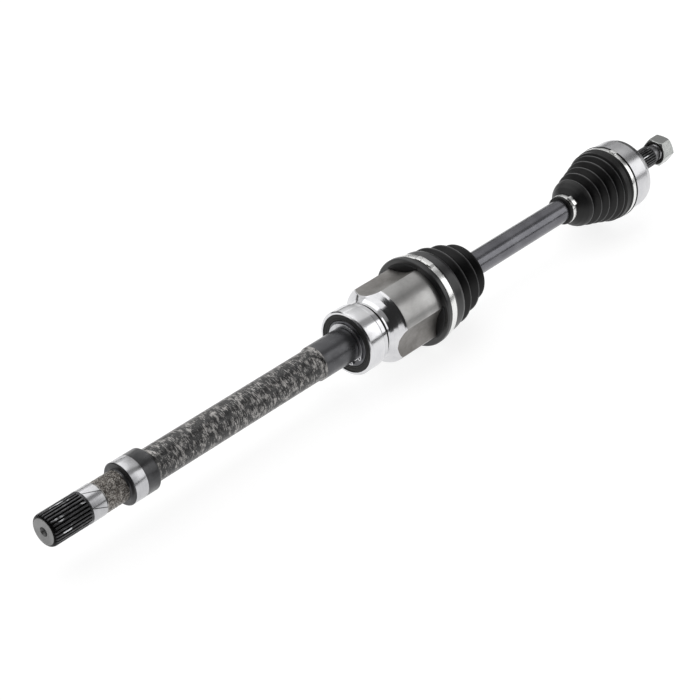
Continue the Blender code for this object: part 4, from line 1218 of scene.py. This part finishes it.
def softbox(name, point, target, size, brightness):
    """A soft light panel of this brightness, whatever its size."""
    light = bpy.data.lights.new(name, "AREA")
    light.shape = "RECTANGLE"
    light.size, light.size_y = size
    light.energy = brightness * math.pi * size[0] * size[1]
    made = placed(name, light)
    made.location = point
    made.rotation_euler = (Vector(target) - Vector(point)).to_track_quat("-Z", "Y").to_euler()


def panel(name, span, low, high, brightness):
    """A softbox along this span of x, between two edges given as (height, sideways) from the axle's line."""
    point = Vector(((span[0] + span[1]) / 2, (low[1] + high[1]) / 2, (low[0] + high[0]) / 2))
    size = (span[1] - span[0], math.dist(low, high))
    softbox(name, point, (point.x, 0.0, 0.0), size, brightness)


panel("near_overhead_softbox", (-3.0, 1.52), (1.9, 2.6), (2.3, -0.4), 1.25)
panel("far_overhead_softbox", (1.52, 4.2), (1.9, 2.6), (2.3, -0.4), 0.42)
panel("near_side_softbox", (0.45, 1.15), (1.75, -1.15), (0.3, -1.8), 0.65)
panel("far_side_softbox", (1.15, 4.2), (1.75, -1.15), (0.3, -1.8), 1.45)
panel("near_back_softbox", (-1.0, 2.5), (0.35, 3.0), (1.9, 2.65), 0.8)
panel("far_back_softbox", (2.5, 4.2), (0.35, 3.0), (1.9, 2.65), 0.32)
panel("ceiling_fill", (-1.0, 4.2), (3.3, 4.5), (3.3, -4.5), 0.3)

world = bpy.data.worlds.new("studio")
world.use_nodes = True
world.node_tree.nodes["Background"].inputs["Color"].default_value = (1.0, 1.0, 1.0, 1.0)
world.node_tree.nodes["Background"].inputs["Strength"].default_value = 0.03
bpy.context.scene.world = world
bpy.context.scene.view_settings.view_transform = "Standard"

# The camera looks down along the axle from the gearbox end, with a slight roll.
CAMERA_AZIMUTH = math.radians(41.61)
CAMERA_DROP = math.radians(34.70)
CAMERA_ROLL = math.radians(0.65)
CAMERA_POINT = (-1.3391, -1.1237, 1.1611)
CAMERA_LENS = 102.86
across = math.cos(CAMERA_DROP)
forward = Vector(
    (math.cos(CAMERA_AZIMUTH) * across, math.sin(CAMERA_AZIMUTH) * across, -math.sin(CAMERA_DROP))
)
camera = placed("camera", bpy.data.cameras.new("camera"))
camera.data.sensor_width = 36.0
camera.data.lens = CAMERA_LENS
turned = forward.to_track_quat("-Z", "Y").to_matrix() @ Matrix.Rotation(CAMERA_ROLL, 3, "Z")
camera.matrix_world = Matrix.Translation(CAMERA_POINT) @ turned.to_4x4()
bpy.context.scene.camera = camera
